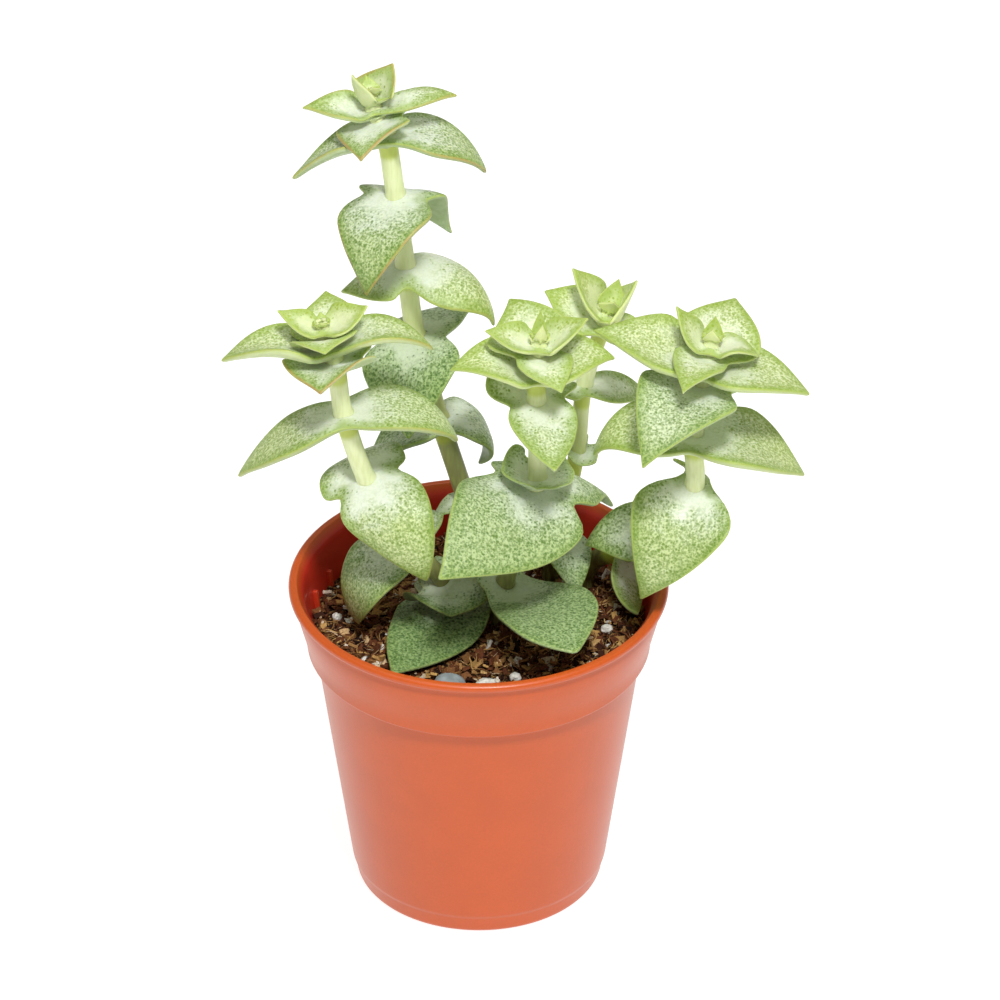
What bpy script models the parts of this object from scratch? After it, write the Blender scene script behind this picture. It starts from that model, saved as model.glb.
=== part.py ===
"""A potted string of buttons: five leafy stems in a small plastic nursery pot.

The pot stands on its flat base with its axis on the world's Z axis and its base at Z = 0. Soil fills
it to just below the rim. Every stem stands in a socket in the soil and threads through its leaf
pairs; the two leaves of a pair are grown together round the stem, and each pair is turned about a
quarter turn from the one below. The tables hold millimetres and degrees; the model is in metres.
"""

import math
from collections import namedtuple

import bmesh
import bpy
from mathutils import Matrix, Vector

MM = 0.001
CLEARANCE = 0.3
MERGE = 0.00001

# Pot
RIM_RADIUS = 27.5
POT_HEIGHT = 50.0
BASE_RADIUS = 18.3
WALL = 1.0
BAND_DEPTH = 10.5
BAND_STAND = 1.2
LIP_BEVEL = 0.8
LIP_BEVEL_DEPTH = 1.2
FLOOR = 1.4
POT_SEGMENTS = 48
DRAIN_HOLES = 6
DRAIN_RADIUS = 2.2
DRAIN_CIRCLE = 11.0
DRAIN_TURN = 33.75

# Soil
SOIL_EDGE = 42.2
SOIL_CROWN = 42.9
SOIL_SEGMENTS = 32

# Stems
SOCKET_FLOOR = 36.0
UPRIGHT_TO = 43.0
STEM_END = 0.9
STEM_TIP_SHARE = 0.5
STEM_TAPER = 4.0
STEM_STEPS = 2

# Leaves
HOLE_SIDE = 0.35
COLLAR = 0.8
WAIST = 0.62
WAIST_LEAST = 0.45
SHOULDER = 0.3
TIP_POWER = 1.5
TIP_PINCH = 0.35
BEND_POWER = 1.3
EASE = 0.16
CUP_REACH = 0.35
THICKNESS_SHARE = 0.07
THICKNESS_BASE = 0.25
MARGIN_SHARE = 0.55
WALK = 16
OUTLINE = (0.0, 0.2, 0.45, 0.75, 1.0)
RINGS = (0.0, 0.5, 1.0)

Leaf = namedtuple(
    "Leaf", "length width rise fall cup skew roll widest point",
    defaults=(0.2, 0.0, 0.0, SHOULDER, TIP_POWER),
)
Pair = namedtuple("Pair", "at turn near far")
Bend = namedtuple("Bend", "at")
Stem = namedtuple("Stem", "name radius foot route")

# A leaf's width is its half width. It leaves the stem at the rise angle and ends at the fall angle.
# The near leaf of a pair points along the turn angle, which runs from +X towards +Y. Cup lifts both
# margins, roll lifts the left one and skew moves the tip to the left, seen from the stem. Widest is
# the share of the length with the full width, and point shapes the tip: 1 is a straight taper.
STEMS = (
    Stem("tall", 1.42, (1.5, 9.5), (
        Pair((-1.8, 9.3, 57.7), 195, Leaf(5.5, 2.6, 0, -20), Leaf(5.5, 2.6, 0, -30)),
        Pair((-5.6, 9.2, 71.6), 188,
             Leaf(13.5, 5.8, 0, -45),
             Leaf(14.2, 6.2, -9, -168, -0.1, -0.1, point=1.9)),
        Pair((-8.9, 9.9, 85.1), 257,
             Leaf(16.8, 7.7, -24, -87, 0.0, -0.05, 12),
             Leaf(13.5, 5.5, 0, -25, 0.0, -0.5)),
        Pair((-10.3, 9.3, 97.3), 182,
             Leaf(10.8, 5.8, -26, -24, -0.2, -0.1),
             Leaf(16.8, 6.6, 0, -94, -0.45, -0.3, 0, 0.2, 2.6)),
        Pair((-11.6, 9.0, 109.0), 250,
             Leaf(17.8, 7.4, 2, -88, 0.0, -0.05, 14, 0.3, 1.25),
             Leaf(12.0, 6.8, -44, -104, 0.0, -0.48, 10, 0.2, 1.5)),
        Pair((-12.9, 8.7, 119.2), 182,
             Leaf(15.2, 4.2, 0, -36, 0.35, 0.1, 12),
             Leaf(17.4, 5.4, -7, -80, 0.0, widest=0.42)),
        Pair((-13.8, 8.6, 121.7), 248,
             Leaf(9.8, 6.2, 16, -18, 0.1, 0.05, 5, 0.25, 1.1),
             Leaf(9.0, 4.6, -5, -20, 0.1)),
        Pair((-14.5, 8.5, 123.2), 182,
             Leaf(10.6, 3.2, 46, 10, 0.4, 0.05, -14),
             Leaf(12.4, 2.8, 14, -36, -0.1, 0, 0, 0.35, 2.2)),
        Pair((-14.8, 8.5, 124.7), 222,
             Leaf(7.0, 2.2, 86, 76, 0.4),
             Leaf(6.8, 4.4, 62, 62, 0.4, -0.25)),
    )),
    Stem("left", 1.38, (-4.7, 3.4), (
        Pair((-4.7, 3.4, 45.2), 266,
             Leaf(19.8, 7.0, -6, 8, 0.05, -0.33, -12, 0.14, 3.0),
             Leaf(8.0, 5.0, 0, 0, 0.1)),
        Pair((-5.1, 3.3, 47.7), 274,
             Leaf(9.6, 6.5, 14, 14, 0.2, 0.05, -38, 0.42),
             Leaf(5.0, 3.6, 15, 0, 0.3, 0, 20)),
        Pair((-11.0, 0.0, 57.0), 219,
             Leaf(17.6, 6.6, 24, -105, 0.0, -0.1, 11, 0.3, 1.75),
             Leaf(8.5, 4.6, 0, -60)),
        Pair((-15.9, -4.5, 70.2), 290,
             Leaf(19.6, 6.4, -13, -97, -0.35, 0.03, 24, 0.18, 2.2),
             Leaf(10.2, 6.8, 12, -78, -0.1, -0.45, 7, 0.15, 3.0)),
        Pair((-19.0, -6.0, 82.1), 186,
             Leaf(20.4, 4.8, -12, -54, 0.05, -0.15, 3, 0.38),
             Leaf(19.4, 5.7, 7, -83, 0.0, -0.05, -4, 0.4, 1.9)),
        Pair((-20.1, -6.5, 91.2), 256,
             Leaf(10.0, 7.2, 32, -18, 0.3, 0.05, 10, 0.25, 1.2),
             Leaf(7.5, 5.0, 0, -10, 0.2)),
        Pair((-20.9, -6.5, 93.5), 184,
             Leaf(16.4, 4.8, 45, -22, 0.35, -0.05, 7, 0.35, 1.8),
             Leaf(16.2, 4.2, 18, -67, 0.2, -0.12, -4, 0.42, 1.6)),
        Pair((-21.4, -6.5, 95.0), 272,
             Leaf(7.8, 5.0, 50, -20, 0.2, 0.05, -8),
             Leaf(9.2, 4.9, 28, 12, 0.2, -0.1, -5)),
        Pair((-21.7, -6.5, 96.4), 182,
             Leaf(7.4, 3.2, 46, 44, 0.3, -0.1, -10),
             Leaf(7.7, 4.0, 18, 36, 0.3, -0.05, 10)),
    )),
    Stem("front", 1.35, (2.9, 0.4), (
        Pair((3.8, -1.5, 50.4), 308,
             Leaf(22.6, 7.6, 37, 5, 0.12, -0.19, 0, 0.52, 2.6),
             Leaf(5.2, 3.8, 6, -5, 0.1, 0.2)),
        Pair((8.1, -5.0, 69.4), 252,
             Leaf(22.3, 9.7, -5, -20, -0.05, -0.28, -22, 0.15, 2.0),
             Leaf(14.2, 8.2, -6, -82, -0.25, -0.75)),
        Pair((8.4, -5.3, 70.7), 190,
             Leaf(6.0, 5.2, 45, 15, 0.4, widest=0.5, point=2.6),
             Leaf(5.6, 5.2, 20, 0, 0.4, widest=0.5, point=2.6)),
        Pair((8.3, -6.0, 84.0), 283,
             Leaf(14.4, 5.0, -18, 0, 0.1, -0.05, -8, 0.25, 1.7),
             Leaf(10.6, 6.8, 22, -34, 0.1, 0.25, 16)),
        Pair((8.1, -6.0, 89.2), 184,
             Leaf(13.2, 6.1, 42, -40, 0.25, 0, -6, 0.28, 1.3),
             Leaf(12.4, 6.0, 49, -34, 0.12, 0, 6, 0.35, 1.4)),
        Pair((8.3, -6.0, 91.8), 294,
             Leaf(9.0, 4.2, 9, -22, 0.2, 0, 8),
             Leaf(11.6, 6.4, 44, -8, 0.2, 0, -28, 0.3, 1.15)),
        Pair((8.5, -6.0, 93.2), 184,
             Leaf(8.4, 3.4, 30, 8, 0.4, 0, -16),
             Leaf(8.8, 4.0, 58, 36, 0.4, 0.05, 5)),
        Pair((8.6, -6.0, 94.3), 275, Leaf(4.8, 1.1, 84, 88, 0.5), Leaf(5.2, 1.2, 80, 86, 0.5)),
    )),
    Stem("back", 1.2, (10.5, 12.0), (
        Pair((11.8, 11.0, 51.0), 287, Leaf(12.0, 3.8, -5, -40, 0.1), Leaf(7.0, 3.6, 0, -20)),
        Pair((14.2, 10.5, 65.2), 312, Leaf(4.7, 3.0, 0, 46, 0.5, -0.1, 15), Leaf(4.8, 3.2, 0, 20, 0.4)),
        Pair((15.2, 10.0, 76.8), 6, Leaf(12.0, 3.6, 0, -55, 0.1, 0.35, 10), Leaf(6.0, 4.0, 5, -30, 0.1)),
        Pair((17.8, 9.0, 87.6), 163,
             Leaf(10.0, 5.6, 26, 0, 0.2, 0, -11),
             Leaf(9.0, 4.2, 8, -18, 0.15)),
        Pair((18.3, 9.0, 89.2), 176,
             Leaf(9.6, 4.4, 53, 42, 0.35, 0, -13),
             Leaf(8.3, 4.4, 88, 80, 0.35, 0.05)),
    )),
    Stem("right", 1.42, (15.5, 10.5), (
        Bend((17.2, 10.0, 47.0)),
        Pair((21.3, 6.7, 50.3), 303, Leaf(12.6, 3.4, -4, 74, 0.1, -0.24), Leaf(5.0, 2.2, 0, -10)),
        Pair((26.6, 2.8, 55.4), 172,
             Leaf(12.8, 5.0, -10, -82, 0.0, 0.12, -14),
             Leaf(5.0, 4.0, 0, -30)),
        Pair((30.8, -3.0, 68.2), 256,
             Leaf(20.6, 7.4, -20, -95, 0.3, -0.1, 0, 0.28, 1.2),
             Leaf(5.0, 2.0, 0, -40, 0.1, 0.9)),
        Pair((30.5, -3.5, 77.2), 173,
             Leaf(17.4, 6.6, 27, -84, 0.0, 0.05, -10, 0.28, 1.4),
             Leaf(19.2, 7.6, -2, -60, 0.18, 0.18, -4, 0.4, 1.3)),
        Pair((31.6, -4.0, 86.0), 242,
             Leaf(19.6, 7.6, 18, -66, 0.15, 0, 0, 0.22, 1.35),
             Leaf(12.0, 6.0, 0, -30, 0.1)),
        Pair((32.1, -4.0, 88.8), 175,
             Leaf(17.2, 6.2, 24, -13, 0.25, -0.05, -12, 0.42, 1.1),
             Leaf(16.0, 6.6, 18, -30, 0.15, 0, 0, 0.3, 1.6)),
        Pair((32.5, -4.0, 90.8), 242,
             Leaf(12.8, 4.0, 15, -15, 0.15, 0.15, 8, 0.33, 1.2),
             Leaf(12.4, 6.5, 36, 2, 0.15, 0.18, -5)),
        Pair((32.8, -4.0, 91.9), 174,
             Leaf(8.4, 3.4, 46, 54, 0.2, -0.1, -16),
             Leaf(7.4, 4.0, 40, -30, 0.2, -0.1, -12, 0.35, 1.6)),
        Pair((32.9, -4.0, 93.0), 260, Leaf(3.8, 1.4, 82, 88, 0.4), Leaf(4.4, 1.6, 82, 88, 0.4)),
    )),
)

POT_COLOR = (0.70, 0.20, 0.09)
SOIL_COLOR = (0.12, 0.06, 0.03)
PEBBLE_COLOR = (0.30, 0.33, 0.34)
PERLITE_COLOR = (0.85, 0.83, 0.78)
OLD_STEM = (0.24, 0.22, 0.10)
YOUNG_STEM = (0.62, 0.70, 0.36)
OLD_LEAF = (0.12, 0.28, 0.12)
YOUNG_LEAF = (0.50, 0.66, 0.28)
FADE_FROM = 45.0
FADE_TO = 100.0

# Grains on the soil: centre (x, y), then the half sizes across and the half height
PEBBLE = ((-4.2, -17.4), (2.9, 2.4, 3.1))
PERLITE = (
    ((1.3, -16.4), (2.0, 1.6, 1.6)),
    ((5.3, -14.2), (1.0, 0.9, 0.9)),
    ((18.6, -1.6), (1.1, 0.9, 0.9)),
    ((-20.6, 1.6), (0.9, 0.9, 0.8)),
)


def metres(*values):
    """Turn millimetres into a vector in metres."""
    return Vector(values) * MM


def blend(start, end, share):
    """Value part of the way from start to end."""
    return start + (end - start) * share


def ramp(value):
    """Smooth step from 0 to 1."""
    value = min(max(value, 0.0), 1.0)
    return value * value * (3.0 - 2.0 * value)


def clear_scene():
    """Remove every object that a new file starts with."""
    for item in list(bpy.data.objects):
        bpy.data.objects.remove(item, do_unlink=True)


def new_collection(name):
    """Make a collection in the scene."""
    collection = bpy.data.collections.new(name)
    bpy.context.scene.collection.children.link(collection)
    return collection


def new_object(name, mesh, collection):
    """Put a mesh in the scene under a name."""
    item = bpy.data.objects.new(name, mesh)
    collection.objects.link(item)
    return item


def finish(item, color, roughness):
    """Give an object its own plain finish."""
    material = bpy.data.materials.new(item.name + "_finish")
    material.use_nodes = True
    shader = material.node_tree.nodes["Principled BSDF"]
    shader.inputs["Base Color"].default_value = (*color, 1.0)
    shader.inputs["Roughness"].default_value = roughness
    shader.inputs["Metallic"].default_value = 0.0
    item.data.materials.append(material)


def smooth(mesh, angle=40.0):
    """Shade a mesh smooth, with creases kept where faces meet steeply."""
    mesh.shade_smooth()
    mesh.set_sharp_from_angle(angle=math.radians(angle))


def turned(name, profile, segments, collection):
    """Turn a profile of (radius, height) round the Z axis; its outer side runs from top to bottom."""
    builder = bmesh.new()
    corners = [builder.verts.new(metres(radius, 0.0, height)) for radius, height in profile]
    for first, second in zip(corners, corners[1:]):
        builder.edges.new((first, second))
    mesh = bpy.data.meshes.new(name)
    builder.to_mesh(mesh)
    builder.free()
    item = new_object(name, mesh, collection)
    screw = item.modifiers.new("Turn", "SCREW")
    screw.steps = segments
    screw.render_steps = segments
    screw.use_merge_vertices = True
    screw.merge_threshold = MERGE
    screw.use_smooth_shade = True
    return item


def cylinder(name, radius, bottom, top, place, collection, segments=16):
    """Upright cylinder between two heights."""
    builder = bmesh.new()
    bmesh.ops.create_cone(
        builder, cap_ends=True, segments=segments,
        radius1=radius * MM, radius2=radius * MM, depth=(top - bottom) * MM,
    )
    mesh = bpy.data.meshes.new(name)
    builder.to_mesh(mesh)
    builder.free()
    item = new_object(name, mesh, collection)
    item.location = metres(place[0], place[1], (top + bottom) / 2.0)
    return item


def lump(name, halves, collection, extra=0.0, rings=8, segments=12):
    """Rounded grain with the given half sizes."""
    builder = bmesh.new()
    bmesh.ops.create_uvsphere(builder, u_segments=segments, v_segments=rings, radius=1.0)
    for vertex in builder.verts:
        vertex.co = metres(*((half + extra) * part for half, part in zip(halves, vertex.co)))
    mesh = bpy.data.meshes.new(name)
    builder.to_mesh(mesh)
    builder.free()
    return new_object(name, mesh, collection)


def cut(item, cutter):
    """Cut one object out of another."""
    cutter.hide_render = True
    cutter.display_type = "WIRE"
    modifier = item.modifiers.new("Cut", "BOOLEAN")
    modifier.operation = "DIFFERENCE"
    modifier.solver = "EXACT"
    modifier.object = cutter


def pot_outside(height):
    """Outer radius of the pot's plain body at a height."""
    return blend(BASE_RADIUS, RIM_RADIUS - BAND_STAND - 1.1, height / POT_HEIGHT)


def pot_inside(height):
    """Inner radius of the pot at a height."""
    band_foot = POT_HEIGHT - BAND_DEPTH
    step = ramp((height - band_foot + 1.5) / 2.5)
    return pot_outside(height) - WALL + BAND_STAND * step


def make_pot(collection, cutters):
    """Moulded pot: tapered body, raised band, rolled lip, flat floor with drain holes."""
    band_foot = POT_HEIGHT - BAND_DEPTH
    lip_inside = pot_inside(POT_HEIGHT)
    profile = (
        (0.0, FLOOR),
        (pot_inside(FLOOR) - 0.8, FLOOR),
        (pot_inside(FLOOR + 1.0), FLOOR + 1.0),
        (pot_inside(band_foot - 1.5), band_foot - 1.5),
        (pot_inside(band_foot + 1.0), band_foot + 1.0),
        (lip_inside, POT_HEIGHT - LIP_BEVEL_DEPTH),
        (lip_inside + LIP_BEVEL, POT_HEIGHT - 0.2),
        (lip_inside + LIP_BEVEL + 0.2, POT_HEIGHT),
        (RIM_RADIUS - 0.3, POT_HEIGHT),
        (RIM_RADIUS, POT_HEIGHT - 0.4),
        (RIM_RADIUS, POT_HEIGHT - 1.0),
        (RIM_RADIUS - 0.6, POT_HEIGHT - 1.4),
        (pot_outside(band_foot) + BAND_STAND + 0.05, band_foot + 0.3),
        (pot_outside(band_foot) + BAND_STAND - 0.3, band_foot),
        (pot_outside(band_foot), band_foot - 0.2),
        (pot_outside(3.0), 3.0),
        (BASE_RADIUS, 2.6),
        (BASE_RADIUS - 0.2, 0.7),
        (BASE_RADIUS - 0.9, 0.0),
        (0.0, 0.0),
    )
    pot = turned("pot", profile, POT_SEGMENTS, collection)
    for number in range(DRAIN_HOLES):
        angle = math.tau * number / DRAIN_HOLES + math.radians(DRAIN_TURN)
        place = (DRAIN_CIRCLE * math.cos(angle), DRAIN_CIRCLE * math.sin(angle))
        hole = cylinder(f"drain_{number + 1}", DRAIN_RADIUS, -1.0, FLOOR + 1.0, place, cutters)
        cut(pot, hole)
    finish(pot, POT_COLOR, 0.35)


def soil_height(radius):
    """Height of the gently domed soil at a distance from the pot's axis."""
    edge = pot_inside(SOIL_EDGE)
    return blend(SOIL_CROWN, SOIL_EDGE, (radius / edge) ** 2)


def make_soil(collection, cutters):
    """Soil that fills the pot, with a socket for each stem and a hollow under each grain."""
    edge = pot_inside(SOIL_EDGE) - CLEARANCE
    foot = FLOOR + CLEARANCE
    step = POT_HEIGHT - BAND_DEPTH
    top = [(edge * share, soil_height(edge * share)) for share in (0.0, 0.3, 0.55, 0.8, 1.0)]
    side = [
        (pot_inside(step - 1.5) - CLEARANCE, step - 1.5),
        (pot_inside(FLOOR + 1.0) - CLEARANCE, FLOOR + 1.0 + CLEARANCE),
        (pot_inside(FLOOR) - 0.8 - CLEARANCE, foot),
        (0.0, foot),
    ]
    soil = turned("soil", top + side, SOIL_SEGMENTS, collection)
    for stem in STEMS:
        radius = stem.radius + CLEARANCE
        cut(soil, cylinder(f"{stem.name}_socket", radius, SOCKET_FLOOR, 48.0, stem.foot, cutters))
    for number, grain in enumerate((PEBBLE,) + PERLITE):
        cutter = lump(f"hollow_{number}", grain[1], cutters, CLEARANCE)
        cutter.location = grain_place(grain)
        cut(soil, cutter)
    finish(soil, SOIL_COLOR, 0.95)


def grain_place(grain):
    """Centre of a grain that is sunk halfway into the soil."""
    (across, along), _ = grain
    return metres(across, along, soil_height(math.hypot(across, along)))


def make_grains(collection):
    """Round pebble and pale grains of perlite, half sunk in the soil."""
    pebble = lump("pebble", PEBBLE[1], collection)
    pebble.location = grain_place(PEBBLE)
    smooth(pebble.data)
    finish(pebble, PEBBLE_COLOR, 0.7)
    for number, grain in enumerate(PERLITE):
        perlite = lump(f"perlite_{number + 1}", grain[1], collection, rings=6, segments=8)
        perlite.location = grain_place(grain)
        finish(perlite, PERLITE_COLOR, 0.9)


def stem_route(stem):
    """Places that the middle of a stem passes: upright in its socket, then through its table, to its tip."""
    foot = SOCKET_FLOOR + CLEARANCE
    route = [Vector((*stem.foot, foot)), Vector((*stem.foot, UPRIGHT_TO))]
    route += [Vector(stop.at) for stop in stem.route]
    last = route[-1] - route[-2]
    route.append(route[-1] + last.normalized() * STEM_END)
    return route


def stem_headings(route):
    """Direction of the stem at each place: straight up in the soil, then a smooth curve."""
    headings = [Vector((0.0, 0.0, 1.0)), Vector((0.0, 0.0, 1.0))]
    for before, after in zip(route[1:], route[3:]):
        headings.append((after - before).normalized())
    headings.append((route[-1] - route[-2]).normalized())
    return headings


def stem_radius(stem, number, count):
    """Radius at a place on the route: full at the foot, half at the tip."""
    share = ramp(((number - 1) / (count - 2)) ** STEM_TAPER)
    return blend(stem.radius, stem.radius * STEM_TIP_SHARE, share)


def make_stem(stem, collection):
    """Round stem through all its places, as one tapering tube."""
    route = stem_route(stem)
    headings = stem_headings(route)
    points = []
    for number in range(len(route) - 1):
        start, end = route[number], route[number + 1]
        reach = (end - start).length
        for step in range(STEM_STEPS):
            share = step / STEM_STEPS
            place = hermite(start, headings[number] * reach, end, headings[number + 1] * reach, share)
            radius = stem_radius(stem, number + share, len(route))
            points.append((place, radius))
    points.append((route[-1], stem_radius(stem, len(route) - 1, len(route))))
    name = f"{stem.name}_stem"
    curve = bpy.data.curves.new(name, "CURVE")
    curve.dimensions = "3D"
    curve.bevel_depth = MM
    curve.bevel_resolution = 2
    curve.use_fill_caps = True
    spline = curve.splines.new("POLY")
    spline.points.add(len(points) - 1)
    for point, (place, radius) in zip(spline.points, points):
        point.co = (*(place * MM), 1.0)
        point.radius = radius
    item = new_object(name, curve, collection)
    finish(item, blend(Vector(OLD_STEM), Vector(YOUNG_STEM), 0.6), 0.5)


def hermite(start, leave, end, arrive, share):
    """Point on a smooth curve between two places with given directions."""
    square = share * share
    cube = square * share
    return (
        start * (2.0 * cube - 3.0 * square + 1.0)
        + leave * (cube - 2.0 * square + share)
        + end * (3.0 * square - 2.0 * cube)
        + arrive * (cube - square)
    )


def half_width(leaf, waist, share):
    """Half width of a leaf at a share of its length: waist, rounded shoulder, pointed tip."""
    if share < leaf.widest:
        return blend(waist, leaf.width, math.sin(math.pi / 2.0 * share / leaf.widest))
    tail = (share - leaf.widest) / (1.0 - leaf.widest)
    return leaf.width * (1.0 - tail ** leaf.point) * (1.0 - TIP_PINCH * tail ** 4)


def leaf_point(leaf, waist_cup, hole, along, across):
    """Place on a leaf's upper side, in its pair's frame, from its flat pattern."""
    reach = max(along - hole, 0.0)
    share = reach / (leaf.length - hole)
    x, z = min(along, hole), 0.0
    slope = 0.0
    for step in range(WALK):
        part = share * (step + 0.5) / WALK
        slope = blend(leaf.rise, leaf.fall, part ** BEND_POWER) * ramp(part / EASE)
        x += math.cos(math.radians(slope)) * reach / WALK
        z += math.sin(math.radians(slope)) * reach / WALK
    cup = blend(waist_cup, leaf.cup, ramp(share / CUP_REACH))
    lift = cup * across * across / leaf.width
    roll = math.radians(leaf.roll) * ramp(share / 0.5)
    side = across * math.cos(roll) - lift * math.sin(roll)
    up = across * math.sin(roll) + lift * math.cos(roll)
    x -= math.sin(math.radians(slope)) * up
    z += math.cos(math.radians(slope)) * up
    return x, side + leaf.skew * leaf.length * share * share, z


def pair_ring(pair, hole, share):
    """One closed ring of places round a pair: the stem's hole at 0, the outline at 1."""
    waist = max(WAIST * (pair.near.width + pair.far.width) / 2.0, hole + WAIST_LEAST)
    waist_cup = (pair.near.cup + pair.far.cup) / 2.0
    quarter = len(OUTLINE) - 1
    ring = []
    for spoke in range(4 * quarter):
        angle = math.tau * spoke / (4 * quarter)
        leaf = pair.near if math.cos(angle) > -1e-6 else pair.far
        end = 1.0 if leaf is pair.near else -1.0
        steps = spoke % (2 * quarter)
        part = OUTLINE[abs(quarter - steps)]
        edge = half_width(leaf, waist, part) * (1.0 if spoke <= 2 * quarter else -1.0)
        start_along, start_across = abs(hole * math.cos(angle)), hole * math.sin(angle)
        along = blend(start_along, leaf.length * part, share)
        across = blend(start_across, edge, share)
        x, y, z = leaf_point(leaf, waist_cup, hole, along, across * end)
        ring.append(metres(x * end, y * end, z))
    return ring


def pair_frame(at, heading, turn):
    """Placement of a pair: its Z axis along the stem, its X axis towards the turn angle."""
    aim = Vector((math.cos(math.radians(turn)), math.sin(math.radians(turn)), 0.0))
    across = heading.cross(aim).normalized()
    forward = across.cross(heading)
    rotation = Matrix((forward, across, heading)).transposed().to_4x4()
    return Matrix.Translation(at * MM) @ rotation


def make_pair(name, pair, radius, heading, collection):
    """Two leaves grown together round the stem: one open sheet, then its thickness."""
    hole = radius + HOLE_SIDE
    length = (pair.near.length + pair.far.length) / 2.0
    collar_share = COLLAR / (length / 2.0)
    shares = (RINGS[0], collar_share) + RINGS[1:]
    builder = bmesh.new()
    count = 4 * (len(OUTLINE) - 1)
    bmesh.ops.create_circle(builder, segments=count, radius=hole * MM)
    edges = list(builder.edges)
    rings = [sorted(builder.verts, key=lambda vertex: math.atan2(vertex.co.y, vertex.co.x) % math.tau)]
    for _ in shares[1:]:
        grown = bmesh.ops.extrude_edge_only(builder, edges=edges)["geom"]
        edges = [part for part in grown if isinstance(part, bmesh.types.BMEdge)
                 and all(vertex in grown for vertex in part.verts)]
        fresh = [part for part in grown if isinstance(part, bmesh.types.BMVert)]
        rings.append(sorted(fresh, key=lambda vertex: math.atan2(vertex.co.y, vertex.co.x) % math.tau))
    for share, ring in zip(shares, rings):
        for vertex, place in zip(ring, pair_ring(pair, hole, share)):
            vertex.co = place
    bmesh.ops.recalc_face_normals(builder, faces=builder.faces)
    if sum(face.normal.z for face in builder.faces) < 0.0:
        bmesh.ops.reverse_faces(builder, faces=builder.faces)
    builder.verts.index_update()
    margin = [vertex.index for vertex in rings[-1]]
    mesh = bpy.data.meshes.new(name)
    builder.to_mesh(mesh)
    builder.free()
    item = new_object(name, mesh, collection)
    flesh = item.vertex_groups.new(name="flesh")
    flesh.add([vertex.index for vertex in mesh.vertices], 1.0, "REPLACE")
    flesh.add(margin, MARGIN_SHARE, "REPLACE")
    solid = item.modifiers.new("Flesh", "SOLIDIFY")
    solid.thickness = (THICKNESS_SHARE * length + THICKNESS_BASE) * MM
    solid.offset = -1.0
    solid.vertex_group = "flesh"
    solid.use_even_offset = True
    smooth(mesh)
    item.matrix_world = pair_frame(Vector(pair.at), heading, pair.turn)
    youth = ramp((pair.at[2] - FADE_FROM) / (FADE_TO - FADE_FROM))
    finish(item, blend(Vector(OLD_LEAF), Vector(YOUNG_LEAF), youth), 0.45)


def make_leaves(stem, collection):
    """All leaf pairs of a stem, numbered from the lowest."""
    route = stem_route(stem)
    headings = stem_headings(route)
    number = 0
    for index, stop in enumerate(stem.route, start=2):
        if not isinstance(stop, Pair):
            continue
        number += 1
        radius = stem_radius(stem, index, len(route))
        make_pair(f"{stem.name}_leaf_pair_{number}", stop, radius, headings[index], collection)


def main():
    """Build the whole plant in its pot."""
    clear_scene()
    plant = new_collection("potted_string_of_buttons")
    cutters = new_collection("cutters")
    make_pot(plant, cutters)
    make_soil(plant, cutters)
    make_grains(plant)
    for stem in STEMS:
        make_stem(stem, plant)
        make_leaves(stem, plant)


main()
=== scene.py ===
"""Potted string of buttons: speckled fleshy leaf pairs threaded on five stems, in a small plastic pot.

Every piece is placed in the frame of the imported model. The tables hold millimetres and degrees, and the
meshes are in metres. The pot, the soil, the stems and the leaf pairs each start as a circle, extruded
ring by ring; the rings then take the piece's own shape.
"""

import math
import random
from collections import namedtuple

import bpy
from bpy.props import FloatProperty, FloatVectorProperty, IntProperty, PointerProperty
from mathutils import Matrix, Vector, noise
from mathutils.bvhtree import BVHTree


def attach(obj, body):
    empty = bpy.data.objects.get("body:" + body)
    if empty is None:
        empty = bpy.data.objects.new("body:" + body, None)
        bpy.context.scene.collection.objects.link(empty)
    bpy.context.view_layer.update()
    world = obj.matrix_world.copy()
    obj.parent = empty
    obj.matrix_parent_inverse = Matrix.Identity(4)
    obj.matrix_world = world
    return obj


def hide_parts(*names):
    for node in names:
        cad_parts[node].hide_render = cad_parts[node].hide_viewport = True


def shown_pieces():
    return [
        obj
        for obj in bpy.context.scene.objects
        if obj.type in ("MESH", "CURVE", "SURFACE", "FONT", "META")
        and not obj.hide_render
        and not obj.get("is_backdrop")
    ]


bl_info = {
    "name": "Potted string of buttons",
    "version": (1, 0, 0),
    "blender": (4, 5, 0),
    "location": "View3D > Sidebar > Plant",
    "description": "Builds a potted string of buttons round its packed model",
    "category": "Add Mesh",
}

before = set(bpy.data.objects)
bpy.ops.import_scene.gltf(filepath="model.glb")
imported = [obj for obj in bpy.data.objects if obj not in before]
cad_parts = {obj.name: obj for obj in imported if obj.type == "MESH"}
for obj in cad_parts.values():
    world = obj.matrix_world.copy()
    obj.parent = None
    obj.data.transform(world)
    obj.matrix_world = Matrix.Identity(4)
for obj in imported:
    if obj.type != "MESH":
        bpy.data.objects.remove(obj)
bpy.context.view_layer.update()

MM = 0.001
TAB = "Plant"

# Pot
LIP_RADIUS = 27.5
POT_HEIGHT = 50.0
BASE_RADIUS = 18.3
BODY_INSET = 1.1
WALL = 1.0
BAND_DEPTH = 10.5
BAND_STAND = 1.2
LIP_ROLL = 0.62
LIP_BEVEL = 0.8
LIP_BEVEL_DEPTH = 1.2
LIP_BEVEL_EDGE = 0.25
BAND_ROLL = 0.5
BASE_ROLL = 1.0
FLOOR = 1.4
POT_SPOKES = 160
DRAIN_HOLES = 6
DRAIN_RADIUS = 2.2
DRAIN_CIRCLE = 11.0
DRAIN_TURN = 33.75
RIB_TURNS = (154.0, 167.5)
RIB_HEIGHTS = (39.0, 44.6)
RIB_SECTION = (1.1, 0.75)
RIB_EDGE = 0.2
RIB_SLOPE = 0.142

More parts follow.
